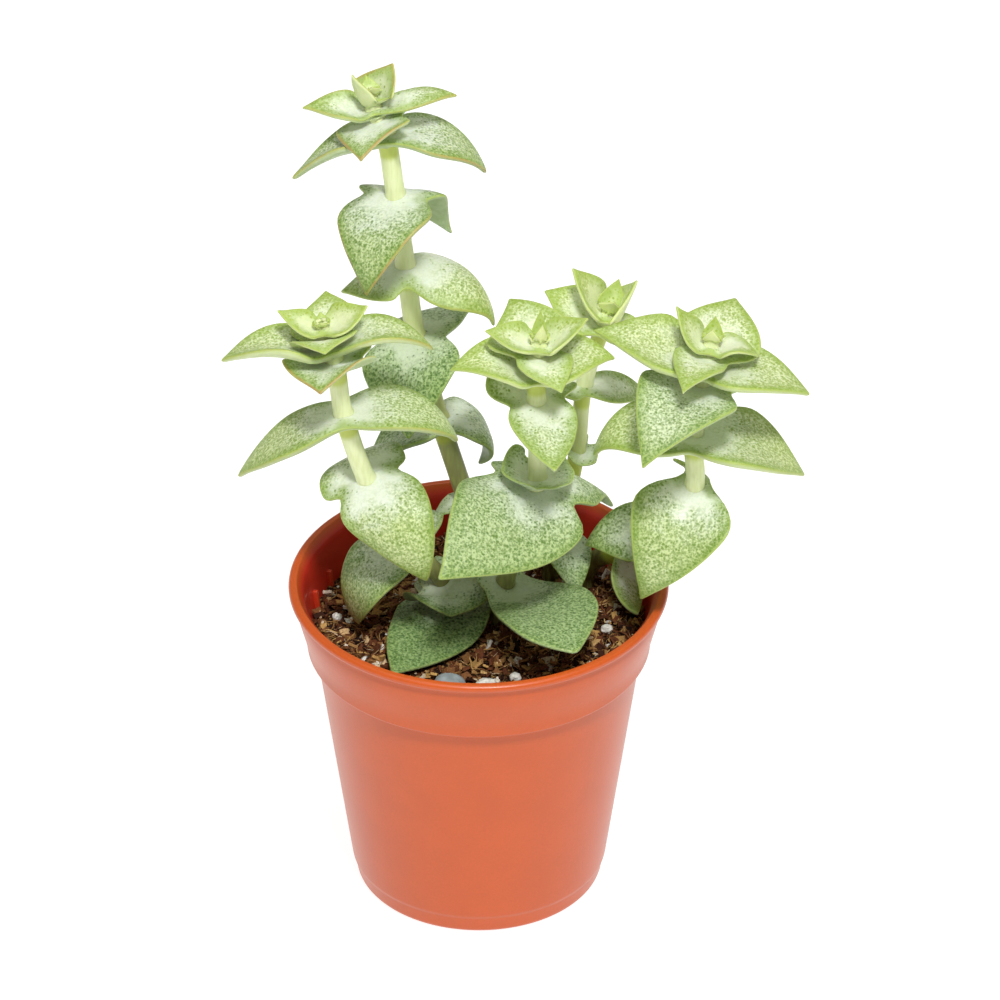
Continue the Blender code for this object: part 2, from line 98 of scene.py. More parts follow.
# Soil
SOIL_EDGE = 42.2
SOIL_CROWN = 42.9
SOIL_SPOKES = 144
SOIL_RINGS = 64
LUMP_SIZE = 0.55
SOIL_PLAY = 0.3
CHIP_SIZES = (0.4, 2.0)
CHIP_RESTS = (-0.25, 0.4)
CHIP_TILT = 0.6
FIBRE_SIZES = (0.8, 5.0)
FIBRE_RESTS = (0.1, 0.6)
FIBRE_TILT = 0.35
FIBRE_SPOKES = 5
FIBRE_RINGS = 10

# Stems
SOCKET_FLOOR = 36.0
UPRIGHT_TO = 43.0
STEM_END = 0.9
STEM_TIP_SHARE = 0.5
STEM_TAPER = 4.0
STEM_SPOKES = 20
STEM_PACE = 0.45
NODE_SWELL = 0.14
COLLAR_SWELL = 0.08
# Shortest stretch of stem under a pair that still gets the collar swell and the painted shadow
COLLAR_LEAST = 3.5
FAR = 99.0

# Leaves
QUARTER = 12
RINGS = (0.0, 0.07, 0.18, 0.33, 0.5, 0.66, 0.8, 0.92, 1.0)
HOLE_INSET = 0.12
WAIST = 0.62
WAIST_LEAST = 0.8
SHOULDER = 0.3
TIP_POWER = 1.5
TIP_PINCH = 0.35
BEND_POWER = 1.3
EASE = 0.16
CUP_REACH = 0.35
THICKNESS_SHARE = 0.07
THICKNESS_BASE = 0.25
MARGIN_SHARE = 0.42
MARGIN_REACH = 2.2
PLUMP = 0.3
SHEATH = 0.5
SHEATH_REACH = 1.3
SHEATH_FLESH = 1.5
RIPPLE = 0.22
RIPPLE_PACE = 0.22
BLUSH_REACH = 0.6
WALK = 12

# Stage: the point that the camera and the lights face, and the places of the lights from it in metres
AIM = Vector((3.09, 0.0, 63.75)) * MM
MAIN_PLACE = Vector((0.1, -0.56, 0.9))
MAIN_SIZE = 0.16
TOP_PLACE = Vector((0.0, -0.1, 1.3))
TOP_SIZE = 1.4

Leaf = namedtuple(
    "Leaf", "length width rise fall cup skew roll widest point blush",
    defaults=(0.2, 0.0, 0.0, SHOULDER, TIP_POWER, 0.0),
)
Pair = namedtuple("Pair", "at turn youth near far")
Bend = namedtuple("Bend", "at")
Stem = namedtuple("Stem", "name radius greens foot route")

# A stem has the radius at its foot, and turns from brown to its young green over the greens height.
# A leaf's width is its half width. It leaves the stem at the rise angle and ends at the fall angle.
# The near leaf of a pair points along the turn angle, which runs from +X towards +Y. Cup lifts both
# margins, roll lifts the left one and skew moves the tip to the left, seen from the stem. Widest is
# the share of the length with the full width, point shapes the tip and blush is how tan the margin is.
# Youth runs from 0, an old dark pair, to 1, a pair that has just opened.
STEMS = (
    Stem("tall", 1.42, 70.0, (1.5, 9.5), (
        Pair((-1.8, 9.3, 57.7), 195, 0.25, Leaf(5.5, 2.6, 0, -20), Leaf(5.5, 2.6, 0, -30)),
        Pair((-5.6, 9.2, 71.6), 188, 0.28,
             Leaf(13.5, 5.8, 0, -45),
             Leaf(14.2, 6.2, -9, -168, -0.1, -0.1, point=1.9)),
        Pair((-8.9, 9.9, 85.1), 257, 0.14,
             Leaf(16.8, 7.7, -24, -87, 0.0, -0.05, 12),
             Leaf(13.5, 5.5, 0, -25, 0.0, -0.5)),
        Pair((-10.3, 9.3, 97.3), 182, 0.7,
             Leaf(10.8, 5.8, -26, -24, -0.2, -0.1),
             Leaf(16.8, 6.6, 0, -94, -0.45, -0.3, 0, 0.2, 2.6, 0.3)),
        Pair((-11.6, 9.0, 109.0), 250, 0.45,
             Leaf(17.8, 7.4, 2, -88, 0.0, -0.05, 14, 0.3, 1.25, 0.9),
             Leaf(12.0, 6.8, -44, -104, 0.0, -0.48, 10, 0.2, 1.5, 0.3)),
        Pair((-12.9, 8.7, 119.2), 182, 0.55,
             Leaf(15.2, 4.2, 0, -36, 0.35, 0.1, 12, blush=0.5),
             Leaf(17.4, 5.4, -7, -80, 0.0, widest=0.42, blush=0.8)),
        Pair((-13.8, 8.6, 121.7), 248, 0.6,
             Leaf(9.8, 6.2, 16, -18, 0.1, 0.05, 5, 0.25, 1.1, 1.0),
             Leaf(9.0, 4.6, -5, -20, 0.1)),
        Pair((-14.5, 8.5, 123.2), 182, 0.7,
             Leaf(10.6, 3.2, 46, 10, 0.4, 0.05, -14, blush=0.4),
             Leaf(12.4, 2.8, 14, -36, -0.1, 0, 0, 0.35, 2.2, 0.5)),
        Pair((-14.8, 8.5, 124.7), 222, 0.85,
             Leaf(7.0, 2.2, 86, 76, 0.4, blush=0.4),
             Leaf(6.6, 4.4, 62, 62, 0.4, -0.25, blush=0.7)),
    )),
    Stem("left", 1.38, 24.0, (-4.7, 3.4), (
        Pair((-4.7, 3.4, 45.2), 266, 0.02,
             Leaf(19.8, 7.0, -6, 8, 0.05, -0.33, -12, 0.14, 3.0),
             Leaf(8.0, 5.0, 0, 0, 0.1)),
        Pair((-5.1, 3.3, 47.7), 274, 0.15,
             Leaf(9.6, 6.5, 14, 14, 0.2, 0.05, -38, 0.42),
             Leaf(5.0, 3.6, 15, 0, 0.3, 0, 20)),
        Pair((-11.0, 0.0, 57.0), 219, 0.35,
             Leaf(17.6, 6.6, 24, -105, 0.0, -0.1, 11, 0.3, 1.75),
             Leaf(8.5, 4.6, 0, -60)),
        Pair((-15.9, -4.5, 70.2), 290, 0.6,
             Leaf(19.6, 6.4, -13, -97, -0.35, 0.03, 24, 0.18, 2.2, 0.15),
             Leaf(10.2, 6.8, 12, -78, -0.1, -0.45, 7, 0.15, 3.0)),
        Pair((-19.0, -6.0, 82.1), 186, 0.66,
             Leaf(20.4, 4.8, -12, -54, 0.05, -0.15, 3, 0.38, blush=0.2),
             Leaf(19.4, 5.7, 7, -83, 0.0, -0.05, -4, 0.4, 1.9, 0.4)),
        Pair((-20.1, -6.5, 91.2), 256, 0.6,
             Leaf(10.0, 7.2, 32, -18, 0.3, 0.05, 10, 0.25, 1.2, 1.0),
             Leaf(7.5, 5.0, 0, -10, 0.2, blush=0.5)),
        Pair((-20.9, -6.5, 93.5), 184, 0.75,
             Leaf(16.4, 4.8, 45, -22, 0.35, -0.05, 7, 0.35, 1.8, 0.2),
             Leaf(16.2, 4.2, 18, -67, 0.2, -0.12, -4, 0.42, 1.6, 0.5)),
        Pair((-21.4, -6.5, 95.0), 272, 0.85,
             Leaf(7.8, 5.0, 50, -20, 0.2, 0.05, -8),
             Leaf(9.2, 4.9, 28, 12, 0.2, -0.1, -5)),
        Pair((-21.7, -6.5, 96.4), 182, 1.0,
             Leaf(7.4, 3.2, 46, 44, 0.3, -0.1, -10),
             Leaf(7.7, 4.0, 18, 36, 0.3, -0.05, 10)),
    )),
    Stem("front", 1.35, 30.0, (2.9, 0.4), (
        Pair((3.8, -1.5, 50.4), 308, 0.1,
             Leaf(22.6, 7.6, 37, 5, 0.12, -0.19, 0, 0.52, 2.6),
             Leaf(5.2, 3.8, 6, -5, 0.1, 0.2)),
        Pair((8.1, -5.0, 69.4), 252, 0.32,
             Leaf(22.3, 9.7, -5, -20, -0.05, -0.28, -22, 0.15, 2.0),
             Leaf(14.2, 8.2, -6, -82, -0.25, -0.75)),
        Pair((8.4, -5.3, 70.7), 190, 0.4,
             Leaf(6.0, 5.2, 45, 15, 0.4, widest=0.5, point=2.6),
             Leaf(5.6, 5.2, 20, 0, 0.4, widest=0.5, point=2.6)),
        Pair((8.3, -6.0, 84.0), 283, 0.65,
             Leaf(14.4, 5.0, -18, 0, 0.1, -0.05, -8, 0.25, 1.7),
             Leaf(10.6, 6.8, 22, -34, 0.1, 0.25, 16)),
        Pair((8.1, -6.0, 89.2), 184, 0.85,
             Leaf(13.2, 6.1, 42, -40, 0.25, 0, -6, 0.28, 1.3),
             Leaf(12.4, 6.0, 49, -34, 0.12, 0, 6, 0.35, 1.4)),
        Pair((8.3, -6.0, 91.8), 294, 0.8,
             Leaf(9.0, 4.2, 9, -22, 0.2, 0, 8),
             Leaf(11.6, 6.4, 44, -8, 0.2, 0, -28, 0.3, 1.15)),
        Pair((8.5, -6.0, 93.2), 184, 0.9,
             Leaf(8.4, 3.4, 30, 8, 0.4, 0, -16),
             Leaf(8.8, 4.0, 58, 36, 0.4, 0.05, 5)),
        Pair((8.6, -6.0, 94.3), 275, 1.0, Leaf(4.8, 1.1, 84, 88, 0.5), Leaf(5.2, 1.2, 80, 86, 0.5)),
    )),
    Stem("back", 1.2, 40.0, (10.5, 12.0), (
        Pair((11.8, 11.0, 51.0), 287, 0.15, Leaf(12.0, 3.8, -5, -40, 0.1), Leaf(7.0, 3.6, 0, -20)),
        Pair((14.2, 10.5, 65.2), 312, 0.3,
             Leaf(4.7, 3.0, 0, 46, 0.5, -0.1, 15),
             Leaf(4.8, 3.2, 0, 20, 0.4)),
        Pair((15.2, 10.0, 76.8), 6, 0.65,
             Leaf(12.0, 3.6, 0, -55, 0.1, 0.35, 10),
             Leaf(6.0, 4.0, 5, -30, 0.1)),
        Pair((17.8, 9.0, 87.6), 163, 0.85,
             Leaf(10.0, 5.6, 26, 0, 0.2, 0, -11),
             Leaf(9.0, 4.2, 8, -18, 0.15)),
        Pair((18.3, 9.0, 89.2), 176, 1.0,
             Leaf(9.6, 4.4, 53, 42, 0.35, 0, -13),
             Leaf(8.3, 4.4, 88, 80, 0.35, 0.05)),
    )),
    Stem("right", 1.42, 26.0, (15.5, 10.5), (
        Bend((17.2, 10.0, 47.0)),
        Pair((21.3, 6.7, 50.3), 303, 0.6, Leaf(12.6, 3.4, -4, 74, 0.1, -0.24), Leaf(5.0, 2.2, 0, -10)),
        Pair((26.6, 2.8, 55.4), 172, 0.35,
             Leaf(12.8, 5.0, -10, -82, 0.0, 0.12, -14),
             Leaf(5.0, 4.0, 0, -30)),
        Pair((30.8, -3.0, 68.2), 256, 0.55,
             Leaf(20.6, 7.4, -20, -95, 0.3, -0.1, 0, 0.28, 1.2),
             Leaf(5.0, 2.0, 0, -40, 0.1, 0.9)),
        Pair((30.5, -3.5, 77.2), 173, 0.74,
             Leaf(17.4, 6.6, 27, -84, 0.0, 0.05, -10, 0.28, 1.4),
             Leaf(19.2, 7.6, -2, -60, 0.18, 0.18, -4, 0.4, 1.3, 0.1)),
        Pair((31.6, -4.0, 86.0), 242, 0.47,
             Leaf(19.6, 7.6, 18, -66, 0.15, 0, 0, 0.22, 1.35),
             Leaf(12.0, 6.0, 0, -30, 0.1)),
        Pair((32.1, -4.0, 88.8), 175, 0.78,
             Leaf(17.2, 6.2, 24, -13, 0.25, -0.05, -12, 0.42, 1.1),
             Leaf(16.0, 6.6, 18, -30, 0.15, 0, 0, 0.3, 1.6)),
        Pair((32.5, -4.0, 90.8), 242, 0.8,
             Leaf(12.8, 4.0, 15, -15, 0.15, 0.15, 8, 0.33, 1.2),
             Leaf(12.4, 6.5, 36, 2, 0.15, 0.18, -5)),
        Pair((32.8, -4.0, 91.9), 174, 0.9,
             Leaf(8.4, 3.4, 46, 54, 0.2, -0.1, -16),
             Leaf(7.4, 4.0, 40, -30, 0.2, -0.1, -12, 0.35, 1.6)),
        Pair((32.9, -4.0, 93.0), 260, 1.0, Leaf(3.8, 1.4, 82, 88, 0.4), Leaf(4.4, 1.6, 82, 88, 0.4)),
    )),
)

# The leaves that are still opening at the tips of three stems
BUDS = {
    "tall": Pair((-14.8, 8.5, 125.7), 285, 1.0, Leaf(3.6, 1.6, 66, 60, 0.4), Leaf(3.4, 1.5, 66, 70, 0.4)),
    "left": Pair((-21.8, -6.5, 97.1), 272, 1.0, Leaf(2.6, 1.3, 52, 60, 0.4), Leaf(2.4, 1.2, 60, 64, 0.4)),
    "back": Pair((18.6, 9.0, 90.1), 265, 1.0, Leaf(4.4, 1.9, 64, 60, 0.4), Leaf(5.4, 2.0, 74, 78, 0.4)),
}

# Grains on the soil: centre (x, y), then the half sizes across and the half height
PEBBLE = ((-4.2, -17.4), (2.9, 2.4, 3.1))
PERLITE = (
    ((1.3, -16.4), (2.0, 1.6, 1.6)),
    ((5.3, -14.2), (1.0, 0.9, 0.9)),
    ((18.6, -1.6), (1.1, 0.9, 0.9)),
    ((-20.6, 1.6), (0.9, 0.9, 0.8)),
)


def shade(red, green, blue):
    """Linear colour from the 0 to 255 values of a colour chart."""
    return tuple((part / 255.0) ** 2.2 for part in (red, green, blue))


def color_setting(name, description, color):
    """Colour property with a default."""
    return FloatVectorProperty(
        name=name, description=description, subtype="COLOR", size=3, min=0.0, max=1.0, default=shade(*color)
    )


def toned(color, factor):
    """Colour made darker or paler by a factor."""
    return tuple(part * factor for part in color)


def grey(value):
    """Neutral colour, for a scale that carries a number."""
    return (value, value, value)


class PotSettings(bpy.types.PropertyGroup):
    """Sizes and finish of the pot."""

    lip_radius: FloatProperty(
        name="Lip radius", description="Outer radius of the lip", default=LIP_RADIUS * MM, unit="LENGTH"
    )
    height: FloatProperty(
        name="Height", description="Height of the pot", default=POT_HEIGHT * MM, unit="LENGTH"
    )
    plastic: color_setting("Plastic", "Colour of the moulded plastic", (205, 88, 31))
    # Deeper red painted on the inner wall and ribs as their shade below the lip.
    inside: color_setting("Inside", "Deeper red of the inner wall", (204, 42, 38))
    gloss: FloatProperty(
        name="Roughness", description="Roughness of the plastic", default=0.36, min=0.0, max=1.0,
        subtype="FACTOR",
    )


class SoilSettings(bpy.types.PropertyGroup):
    """Colours and litter of the soil."""

    peat: color_setting("Peat", "Dark compost between the chips", (38, 18, 11))
    bark: color_setting("Bark", "Reddish brown bark", (116, 68, 41))
    straw: color_setting("Straw", "Tan fibres and chips", (216, 172, 104))
    crumb: color_setting("Perlite", "White grains", (236, 233, 224))
    stone: color_setting("Pebble", "Grey pebble", (128, 136, 138))
    chips: IntProperty(name="Chips", description="Number of bark chips", default=3800, min=0)
    fibres: IntProperty(name="Fibres", description="Number of loose fibres", default=1500, min=0)
    seed: IntProperty(name="Seed", description="Seed of the litter's places", default=7)


class StemSettings(bpy.types.PropertyGroup):
    """Colours of the stems."""

    young: color_setting("Young", "Pale young stem", (236, 244, 194))
    grown: color_setting("Grown", "Yellow green stem", (186, 194, 128))
    old: color_setting("Old", "Brown foot of a stem", (98, 90, 50))
    # Yellow green of the painted shadow close under each leaf pair; half of it also tints the stem's
    # streaks.
    shadow_and_streak: color_setting("Collar", "Stem close under a leaf pair", (194, 208, 84))


class LeafSettings(bpy.types.PropertyGroup):
    """Colours of the leaves, from the youngest pair to the oldest."""

    heart: color_setting("Heart", "Pale middle of a leaf, near the stem", (234, 240, 230))
    young: color_setting("Young", "Ground of a young leaf", (226, 236, 158))
    grown: color_setting("Grown", "Ground of a grown leaf", (199, 214, 157))
    old: color_setting("Old", "Ground of an old leaf", (154, 182, 118))
    young_speck: color_setting("Young speckle", "Speckles of a young leaf", (158, 182, 58))
    grown_speck: color_setting("Grown speckle", "Speckles of a grown leaf", (104, 136, 56))
    old_speck: color_setting("Old speckle", "Speckles of an old leaf", (62, 98, 42))
    band: color_setting("Band", "Green band inside the margin", (164, 190, 92))
    margin: color_setting("Margin", "Clear line along the margin", (172, 190, 98))
    blush: color_setting("Blush", "Sun-tanned margin and tip", (176, 142, 84))
    under: color_setting("Underside", "Underside of a leaf", (150, 172, 116))


class StageSettings(bpy.types.PropertyGroup):
    """Camera, lights and floor."""

    lens: FloatProperty(name="Lens", description="Focal length in millimetres", default=250.92)
    distance: FloatProperty(
        name="Distance", description="From the camera to the aim", default=1.0, unit="LENGTH"
    )
    elevation: FloatProperty(
        name="Elevation", description="Height of the camera above the horizon", default=math.radians(33.0),
        subtype="ANGLE",
    )
    floor: color_setting("Floor", "Pale floor", (150, 150, 150))
    glow: FloatProperty(name="Floor glow", description="Light that the floor gives off", default=0.9)
    key: FloatProperty(name="Main light", description="Power of the main light in watts", default=8.1)
    top: FloatProperty(name="Top light", description="Power of the light overhead in watts", default=7.0)
    fill: FloatProperty(name="Fill light", description="Strength of the white surroundings", default=0.27)


SETTINGS = {
    "plant_pot": PotSettings,
    "plant_soil": SoilSettings,
    "plant_stems": StemSettings,
    "plant_leaves": LeafSettings,
    "plant_stage": StageSettings,
}


# Numbers


def blend(start, end, share):
    """Value part of the way from start to end."""
    return start + (end - start) * share


def ramp(value):
    """Smooth step from 0 to 1."""
    value = min(max(value, 0.0), 1.0)
    return value * value * (3.0 - 2.0 * value)


def hermite(start, leave, end, arrive, share):
    """Point on a smooth curve between two places with given directions."""
    square = share * share
    cube = square * share
    return (
        start * (2.0 * cube - 3.0 * square + 1.0)
        + leave * (cube - 2.0 * square + share)
        + end * (3.0 * square - 2.0 * cube)
        + arrive * (cube - square)
    )


# Modelling


def deselect():
    """Leave nothing selected."""
    bpy.ops.object.select_all(action="DESELECT")


def pick(piece):
    """Select one piece and make it active."""
    deselect()
    piece.select_set(True)
    bpy.context.view_layer.objects.active = piece


def ringed(name, spokes, count, place):
    """Circle extruded ring by ring; place gives each vertex its spot in millimetres and its marks."""
    deselect()
    bpy.ops.mesh.primitive_circle_add(vertices=spokes, radius=1.0)
    piece = bpy.context.object
    piece.name = name
    piece.data.name = name
    bpy.ops.object.mode_set(mode="EDIT")
    bpy.ops.mesh.select_mode(type="EDGE")
    bpy.ops.mesh.select_all(action="SELECT")
    for _ in range(count - 1):
        bpy.ops.mesh.extrude_region_move(TRANSFORM_OT_translate={"value": (0.0, 0.0, 1.0)})
    bpy.ops.object.mode_set(mode="OBJECT")
    marks = {}
    for vertex in piece.data.vertices:
        spoke = round(math.atan2(vertex.co.y, vertex.co.x) / math.tau * spokes) % spokes
        spot, values = place(round(vertex.co.z), spoke)
        vertex.co = Vector(spot) * MM
        for key, value in values.items():
            marks.setdefault(key, {})[vertex.index] = value
    for key, values in marks.items():
        mark(piece, key, [values[index] for index in range(len(values))])
    return piece


def mark(piece, key, values):
    """Write a number for each vertex, for the finish to read."""
    layer = piece.data.attributes.get(key) or piece.data.attributes.new(key, "FLOAT", "POINT")
    layer.data.foreach_set("value", values)


def marks_of(piece, key):
    """Numbers that a piece's vertices carry under a key."""
    return [spot.value for spot in piece.data.attributes[key].data]


def weld(piece):
    """Join vertices that meet and point all faces outwards."""
    pick(piece)
    bpy.ops.object.mode_set(mode="EDIT")
    bpy.ops.mesh.select_mode(type="VERT")
    bpy.ops.mesh.select_all(action="SELECT")
    bpy.ops.mesh.remove_doubles(threshold=0.002 * MM)
    bpy.ops.mesh.normals_make_consistent(inside=False)
    bpy.ops.object.mode_set(mode="OBJECT")


def apply_modifier(piece, kind, **settings):
    """Add a modifier with its settings and apply it."""
    pick(piece)
    modifier = piece.modifiers.new(kind.title(), kind)
    for key, value in settings.items():
        setattr(modifier, key, value)
    bpy.ops.object.modifier_apply(modifier=modifier.name)


def round_off(piece, levels=1):
    """Subdivide a piece to a smooth surface."""
    apply_modifier(piece, "SUBSURF", levels=levels, render_levels=levels)
    pick(piece)
    bpy.ops.object.shade_smooth()


def smooth(piece, angle=40.0):
    """Shade a piece smooth but for its creases."""
    pick(piece)
    bpy.ops.object.shade_smooth_by_angle(angle=math.radians(angle))


def settle(piece, slot, finish, *nodes):
    """Give a piece its finish and its place in the frame."""
    piece.data.materials.clear()
    piece.data.materials.append(finish)
    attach(piece, "root")
    if nodes:
        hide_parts(*nodes)


def copies(name, pattern, places, tints):
    """One piece made of many copies of a pattern, each with its own placement and tint."""
    deselect()
    for placement, tint in zip(places, tints):
        copy = pattern.copy()
        copy.data = pattern.data.copy()
        copy.data.transform(placement)
        mark(copy, "tint", [tint] * len(copy.data.vertices))
        bpy.context.collection.objects.link(copy)
        copy.select_set(True)
    bpy.context.view_layer.objects.active = copy
    bpy.data.objects.remove(pattern, do_unlink=True)
    bpy.ops.object.join()
    copy.name = name
    return copy


# Finishes


class Finish:
    """A material and the nodes that drive it."""

    def __init__(self, name, roughness, specular=0.5):
        self.material = bpy.data.materials.new(name)
        self.material.use_nodes = True
        self.tree = self.material.node_tree
        self.shader = self.tree.nodes["Principled BSDF"]
        self.put({"Roughness": roughness, "Specular IOR Level": specular})
        self.coords = self.tree.nodes.new("ShaderNodeTexCoord").outputs["Object"]

    def put(self, values):
        """Set numbers and colours that are the same all over."""
        for key, value in values.items():
            self.shader.inputs[key].default_value = value

    def node(self, kind, feeds, output=0, **settings):
        """Add a node, set it up, feed its inputs and give back one output."""
        made = self.tree.nodes.new(kind)
        for key, value in settings.items():
            setattr(made, key, value)
        for key, value in feeds.items():
            if isinstance(value, bpy.types.NodeSocket):
                self.tree.links.new(value, made.inputs[key])
            else:
                made.inputs[key].default_value = value
        return made.outputs[output]

    def mark(self, key):
        """Number that the mesh carries at each vertex."""
        return self.node("ShaderNodeAttribute", {}, 2, attribute_name=key)

    def total(self, first, second, operation="ADD"):
        """Two numbers added up, or put through another operation."""
        return self.node("ShaderNodeMath", {0: first, 1: second}, operation=operation)

    def less(self, first, second):
        """First number less the second."""
        return self.total(first, second, "SUBTRACT")

    def product(self, first, second):
        """Two numbers multiplied."""
        return self.total(first, second, "MULTIPLY")

    def span(self, value, low, high, start=0.0, end=1.0):
        """Smooth change from start to end as the value goes from low to high."""
        feeds = {"Value": value, "From Min": low, "From Max": high, "To Min": start, "To Max": end}
        return self.node("ShaderNodeMapRange", feeds, interpolation_type="SMOOTHSTEP")

    def mix(self, share, first, second):
        """Colour between two others."""
        ends = [end if isinstance(end, bpy.types.NodeSocket) else (*end, 1.0) for end in (first, second)]
        return self.node("ShaderNodeMix", {0: share, 6: ends[0], 7: ends[1]}, 2, data_type="RGBA")

    def scale(self, value, *stops):
        """Colour from a number between 0 and 1, through evenly spread stops."""
        output = self.node("ShaderNodeValToRGB", {0: value})
        elements = output.node.color_ramp.elements
        while len(elements) < len(stops):
            elements.new(0.5)
        for number, (element, stop) in enumerate(zip(elements, stops)):
            element.position = number / (len(stops) - 1)
            element.color = (*stop, 1.0)
        return output

    def cloud(self, size, detail=2.0, stretch=(1.0, 1.0, 1.0)):
        """Soft noise with features of a size in millimetres."""
        place = self.node("ShaderNodeMapping", {"Vector": self.coords, "Scale": stretch})
        feeds = {"Vector": place, "Scale": 1.0 / (size * MM), "Detail": detail}
        return self.node("ShaderNodeTexNoise", feeds)

    def cells(self, size, output=0):
        """Cells of a size in millimetres: output 0 is the distance to a middle, 1 the cell's own colour."""
        return self.node("ShaderNodeTexVoronoi", {"Vector": self.coords, "Scale": 1.0 / (size * MM)}, output)

    def specks(self, size, radius, cover):
        """Dots in some of the cells of a pattern: cover is the share of cells that have one."""
        near = self.span(self.cells(size), radius * 0.7, radius * 1.3, 1.0, 0.0)
        chance = self.node("ShaderNodeSeparateColor", {0: self.cells(size, 1)})
        kept = self.span(self.less(cover, chance), -0.05, 0.05)
        return self.product(near, kept)

    def color(self, socket):
        """Feed the base colour."""
        self.tree.links.new(socket, self.shader.inputs["Base Color"])

    def bump(self, height, depth, strength=1.0):
        """Feed the surface relief, with a depth in millimetres."""
        feeds = {"Height": height, "Distance": depth * MM, "Strength": strength}
        self.tree.links.new(self.node("ShaderNodeBump", feeds), self.shader.inputs["Normal"])

    def let_light_in(self, weight, reach, depth):
        """Soft light from inside: reach is the share for red, green and blue of a depth in millimetres."""
        self.put({"Subsurface Weight": weight, "Subsurface Radius": reach, "Subsurface Scale": depth * MM})


def leaf_ground(finish, settings, youth, reach, painted_top_light):
    """Colour of a leaf without its speckles: green ground, pale heart and painted top light where it faces
    up.
    """
    ground = finish.scale(youth, settings.old, settings.grown, settings.young)
    clear = finish.scale(youth, grey(0.35), grey(1.0), grey(0.3))
    heart = finish.product(finish.span(reach, 2.8, 10.0, 1.0, 0.0), clear)
    body = finish.mix(heart, ground, settings.heart)
    # Painted top light: faces that look up are painted towards the heart's pale colour.
    return finish.mix(finish.product(painted_top_light, 0.5), body, settings.heart)


def leaf_speckles(finish, body, speck, reach, cover):
    """Green mottle, and then small and large speckles that thicken with the cover."""
    mottle = finish.span(finish.cloud(0.4, 4.0), 0.4, 0.62)
    body = finish.mix(finish.product(mottle, finish.span(reach, 2.6, 8.5, 0.08, 0.62)), body, speck)
    body = finish.mix(finish.product(finish.specks(0.36, 0.4, cover), 0.62), body, speck)
    large = finish.specks(0.62, 0.32, finish.product(cover, 0.8))
    return finish.mix(finish.product(large, 0.8), body, speck)


def leaf_margin(finish, settings, body, inset, bright):
    """Clear line along the margin, with the tan that the sun gives it."""
    body = finish.mix(finish.product(finish.span(inset, 0.1, 0.4, 0.75, 0.0), bright), body, settings.margin)
    tan = finish.product(finish.mark("blush"), finish.span(inset, 0.1, 0.6, 0.9, 0.0))
    patchy = finish.span(finish.cloud(1.6), 0.3, 0.6, 0.5, 1.0)
    return finish.mix(finish.product(tan, patchy), body, settings.blush)


def leaf_finish(settings):
    """Waxy leaf: pale heart, green speckles that thicken outwards, a clear margin and a plain underside."""
    finish = Finish("waxy_speckled_leaf", 0.42, 0.45)
    youth, inset, outward = finish.mark("youth"), finish.mark("inset"), finish.mark("outward")
    drift = finish.less(finish.cloud(2.6), 0.5)
    patches = finish.less(finish.cloud(1.1), 0.5)
    reach = finish.total(outward, finish.product(drift, 9.0))
    near_edge = finish.span(finish.total(inset, finish.product(patches, 1.8)), 0.2, 2.4, 1.0, 0.0)
    cover = finish.total(finish.span(reach, 3.2, 9.0, 0.0, 0.78), finish.product(near_edge, 0.45))
    # Painted top light: up-facing faces of grown leaves are painted paler and carry fewer speckles.
    painted_top_light = finish.product(finish.mark("painted_top_light"), finish.scale(youth, grey(0.0), grey(0.8), grey(0.5)))
    cover = finish.total(finish.total(cover, finish.product(patches, 0.9)), finish.product(painted_top_light, -0.14))
    speck = finish.scale(youth, settings.old_speck, settings.grown_speck, settings.young_speck)
    bright = finish.scale(youth, grey(0.3), grey(1.0), grey(1.0))
    band = finish.mix(0.4, settings.band, speck)
    body = leaf_ground(finish, settings, youth, reach, painted_top_light)
    body = finish.mix(finish.product(near_edge, finish.product(bright, 0.8)), body, band)
    body = leaf_speckles(finish, body, speck, reach, cover)
    body = leaf_margin(finish, settings, body, inset, bright)
    body = finish.mix(finish.span(finish.mark("sheath"), 0.9, 1.0, 0.0, 0.5), body, settings.under)
    below = finish.scale(youth, settings.old_speck, settings.under, settings.young)
    below = finish.mix(finish.product(finish.cloud(0.8), 0.35), below, settings.heart)
    finish.color(finish.mix(finish.mark("underside"), body, below))
    finish.let_light_in(0.16, (0.8, 1.0, 0.2), 1.2)
    finish.bump(finish.total(finish.cloud(0.35, 3.0), finish.product(finish.cloud(2.4), 1.5)), 0.06, 0.7)
    return finish.material


def stem_finish(settings):
    """Smooth stem: brown at its foot, pale above, with a painted yellow green shadow close under each leaf
    pair.
    """
    finish = Finish("stem_skin", 0.48, 0.4)
    body = finish.scale(finish.mark("youth"), settings.old, settings.grown, settings.young)
    streak = finish.span(finish.cloud(0.5, 3.0, (1.0, 1.0, 0.15)), 0.35, 0.7)
    body = finish.mix(finish.product(streak, 0.3), body, finish.mix(0.5, settings.grown, settings.shadow_and_streak))
    # Painted shadow: the stem turns yellow green for a few millimetres under each leaf pair.
    body = finish.mix(finish.span(finish.mark("below"), 2.8, 4.0, 0.85, 0.0), body, settings.shadow_and_streak)
    finish.color(body)
    finish.let_light_in(0.15, (0.8, 1.0, 0.3), 1.0)
    finish.bump(finish.cloud(0.4, 3.0, (1.0, 1.0, 0.3)), 0.05, 0.7)
    return finish.material


def pot_finish(settings):
    """Satin moulded plastic with a very faint grain, and painted shade that turns the inner wall deeper red.
    """
    finish = Finish("terracotta_plastic", settings.gloss)
    fine, broad = finish.product(finish.cloud(0.35, 3.0), 0.5), finish.product(finish.cloud(6.0), 0.5)
    grain = finish.span(finish.total(fine, broad), 0.35, 0.65)
    body = finish.mix(grain, toned(settings.plastic, 0.93), settings.plastic)
    # Painted shade: the inner wall and the ribs blend to the deeper red.
    finish.color(finish.mix(finish.product(finish.mark("inner"), 0.85), body, settings.inside))
    finish.put({"Coat Weight": 0.15, "Coat Roughness": 0.2})
    finish.bump(finish.cloud(0.3, 3.0), 0.02, 0.5)
    return finish.material


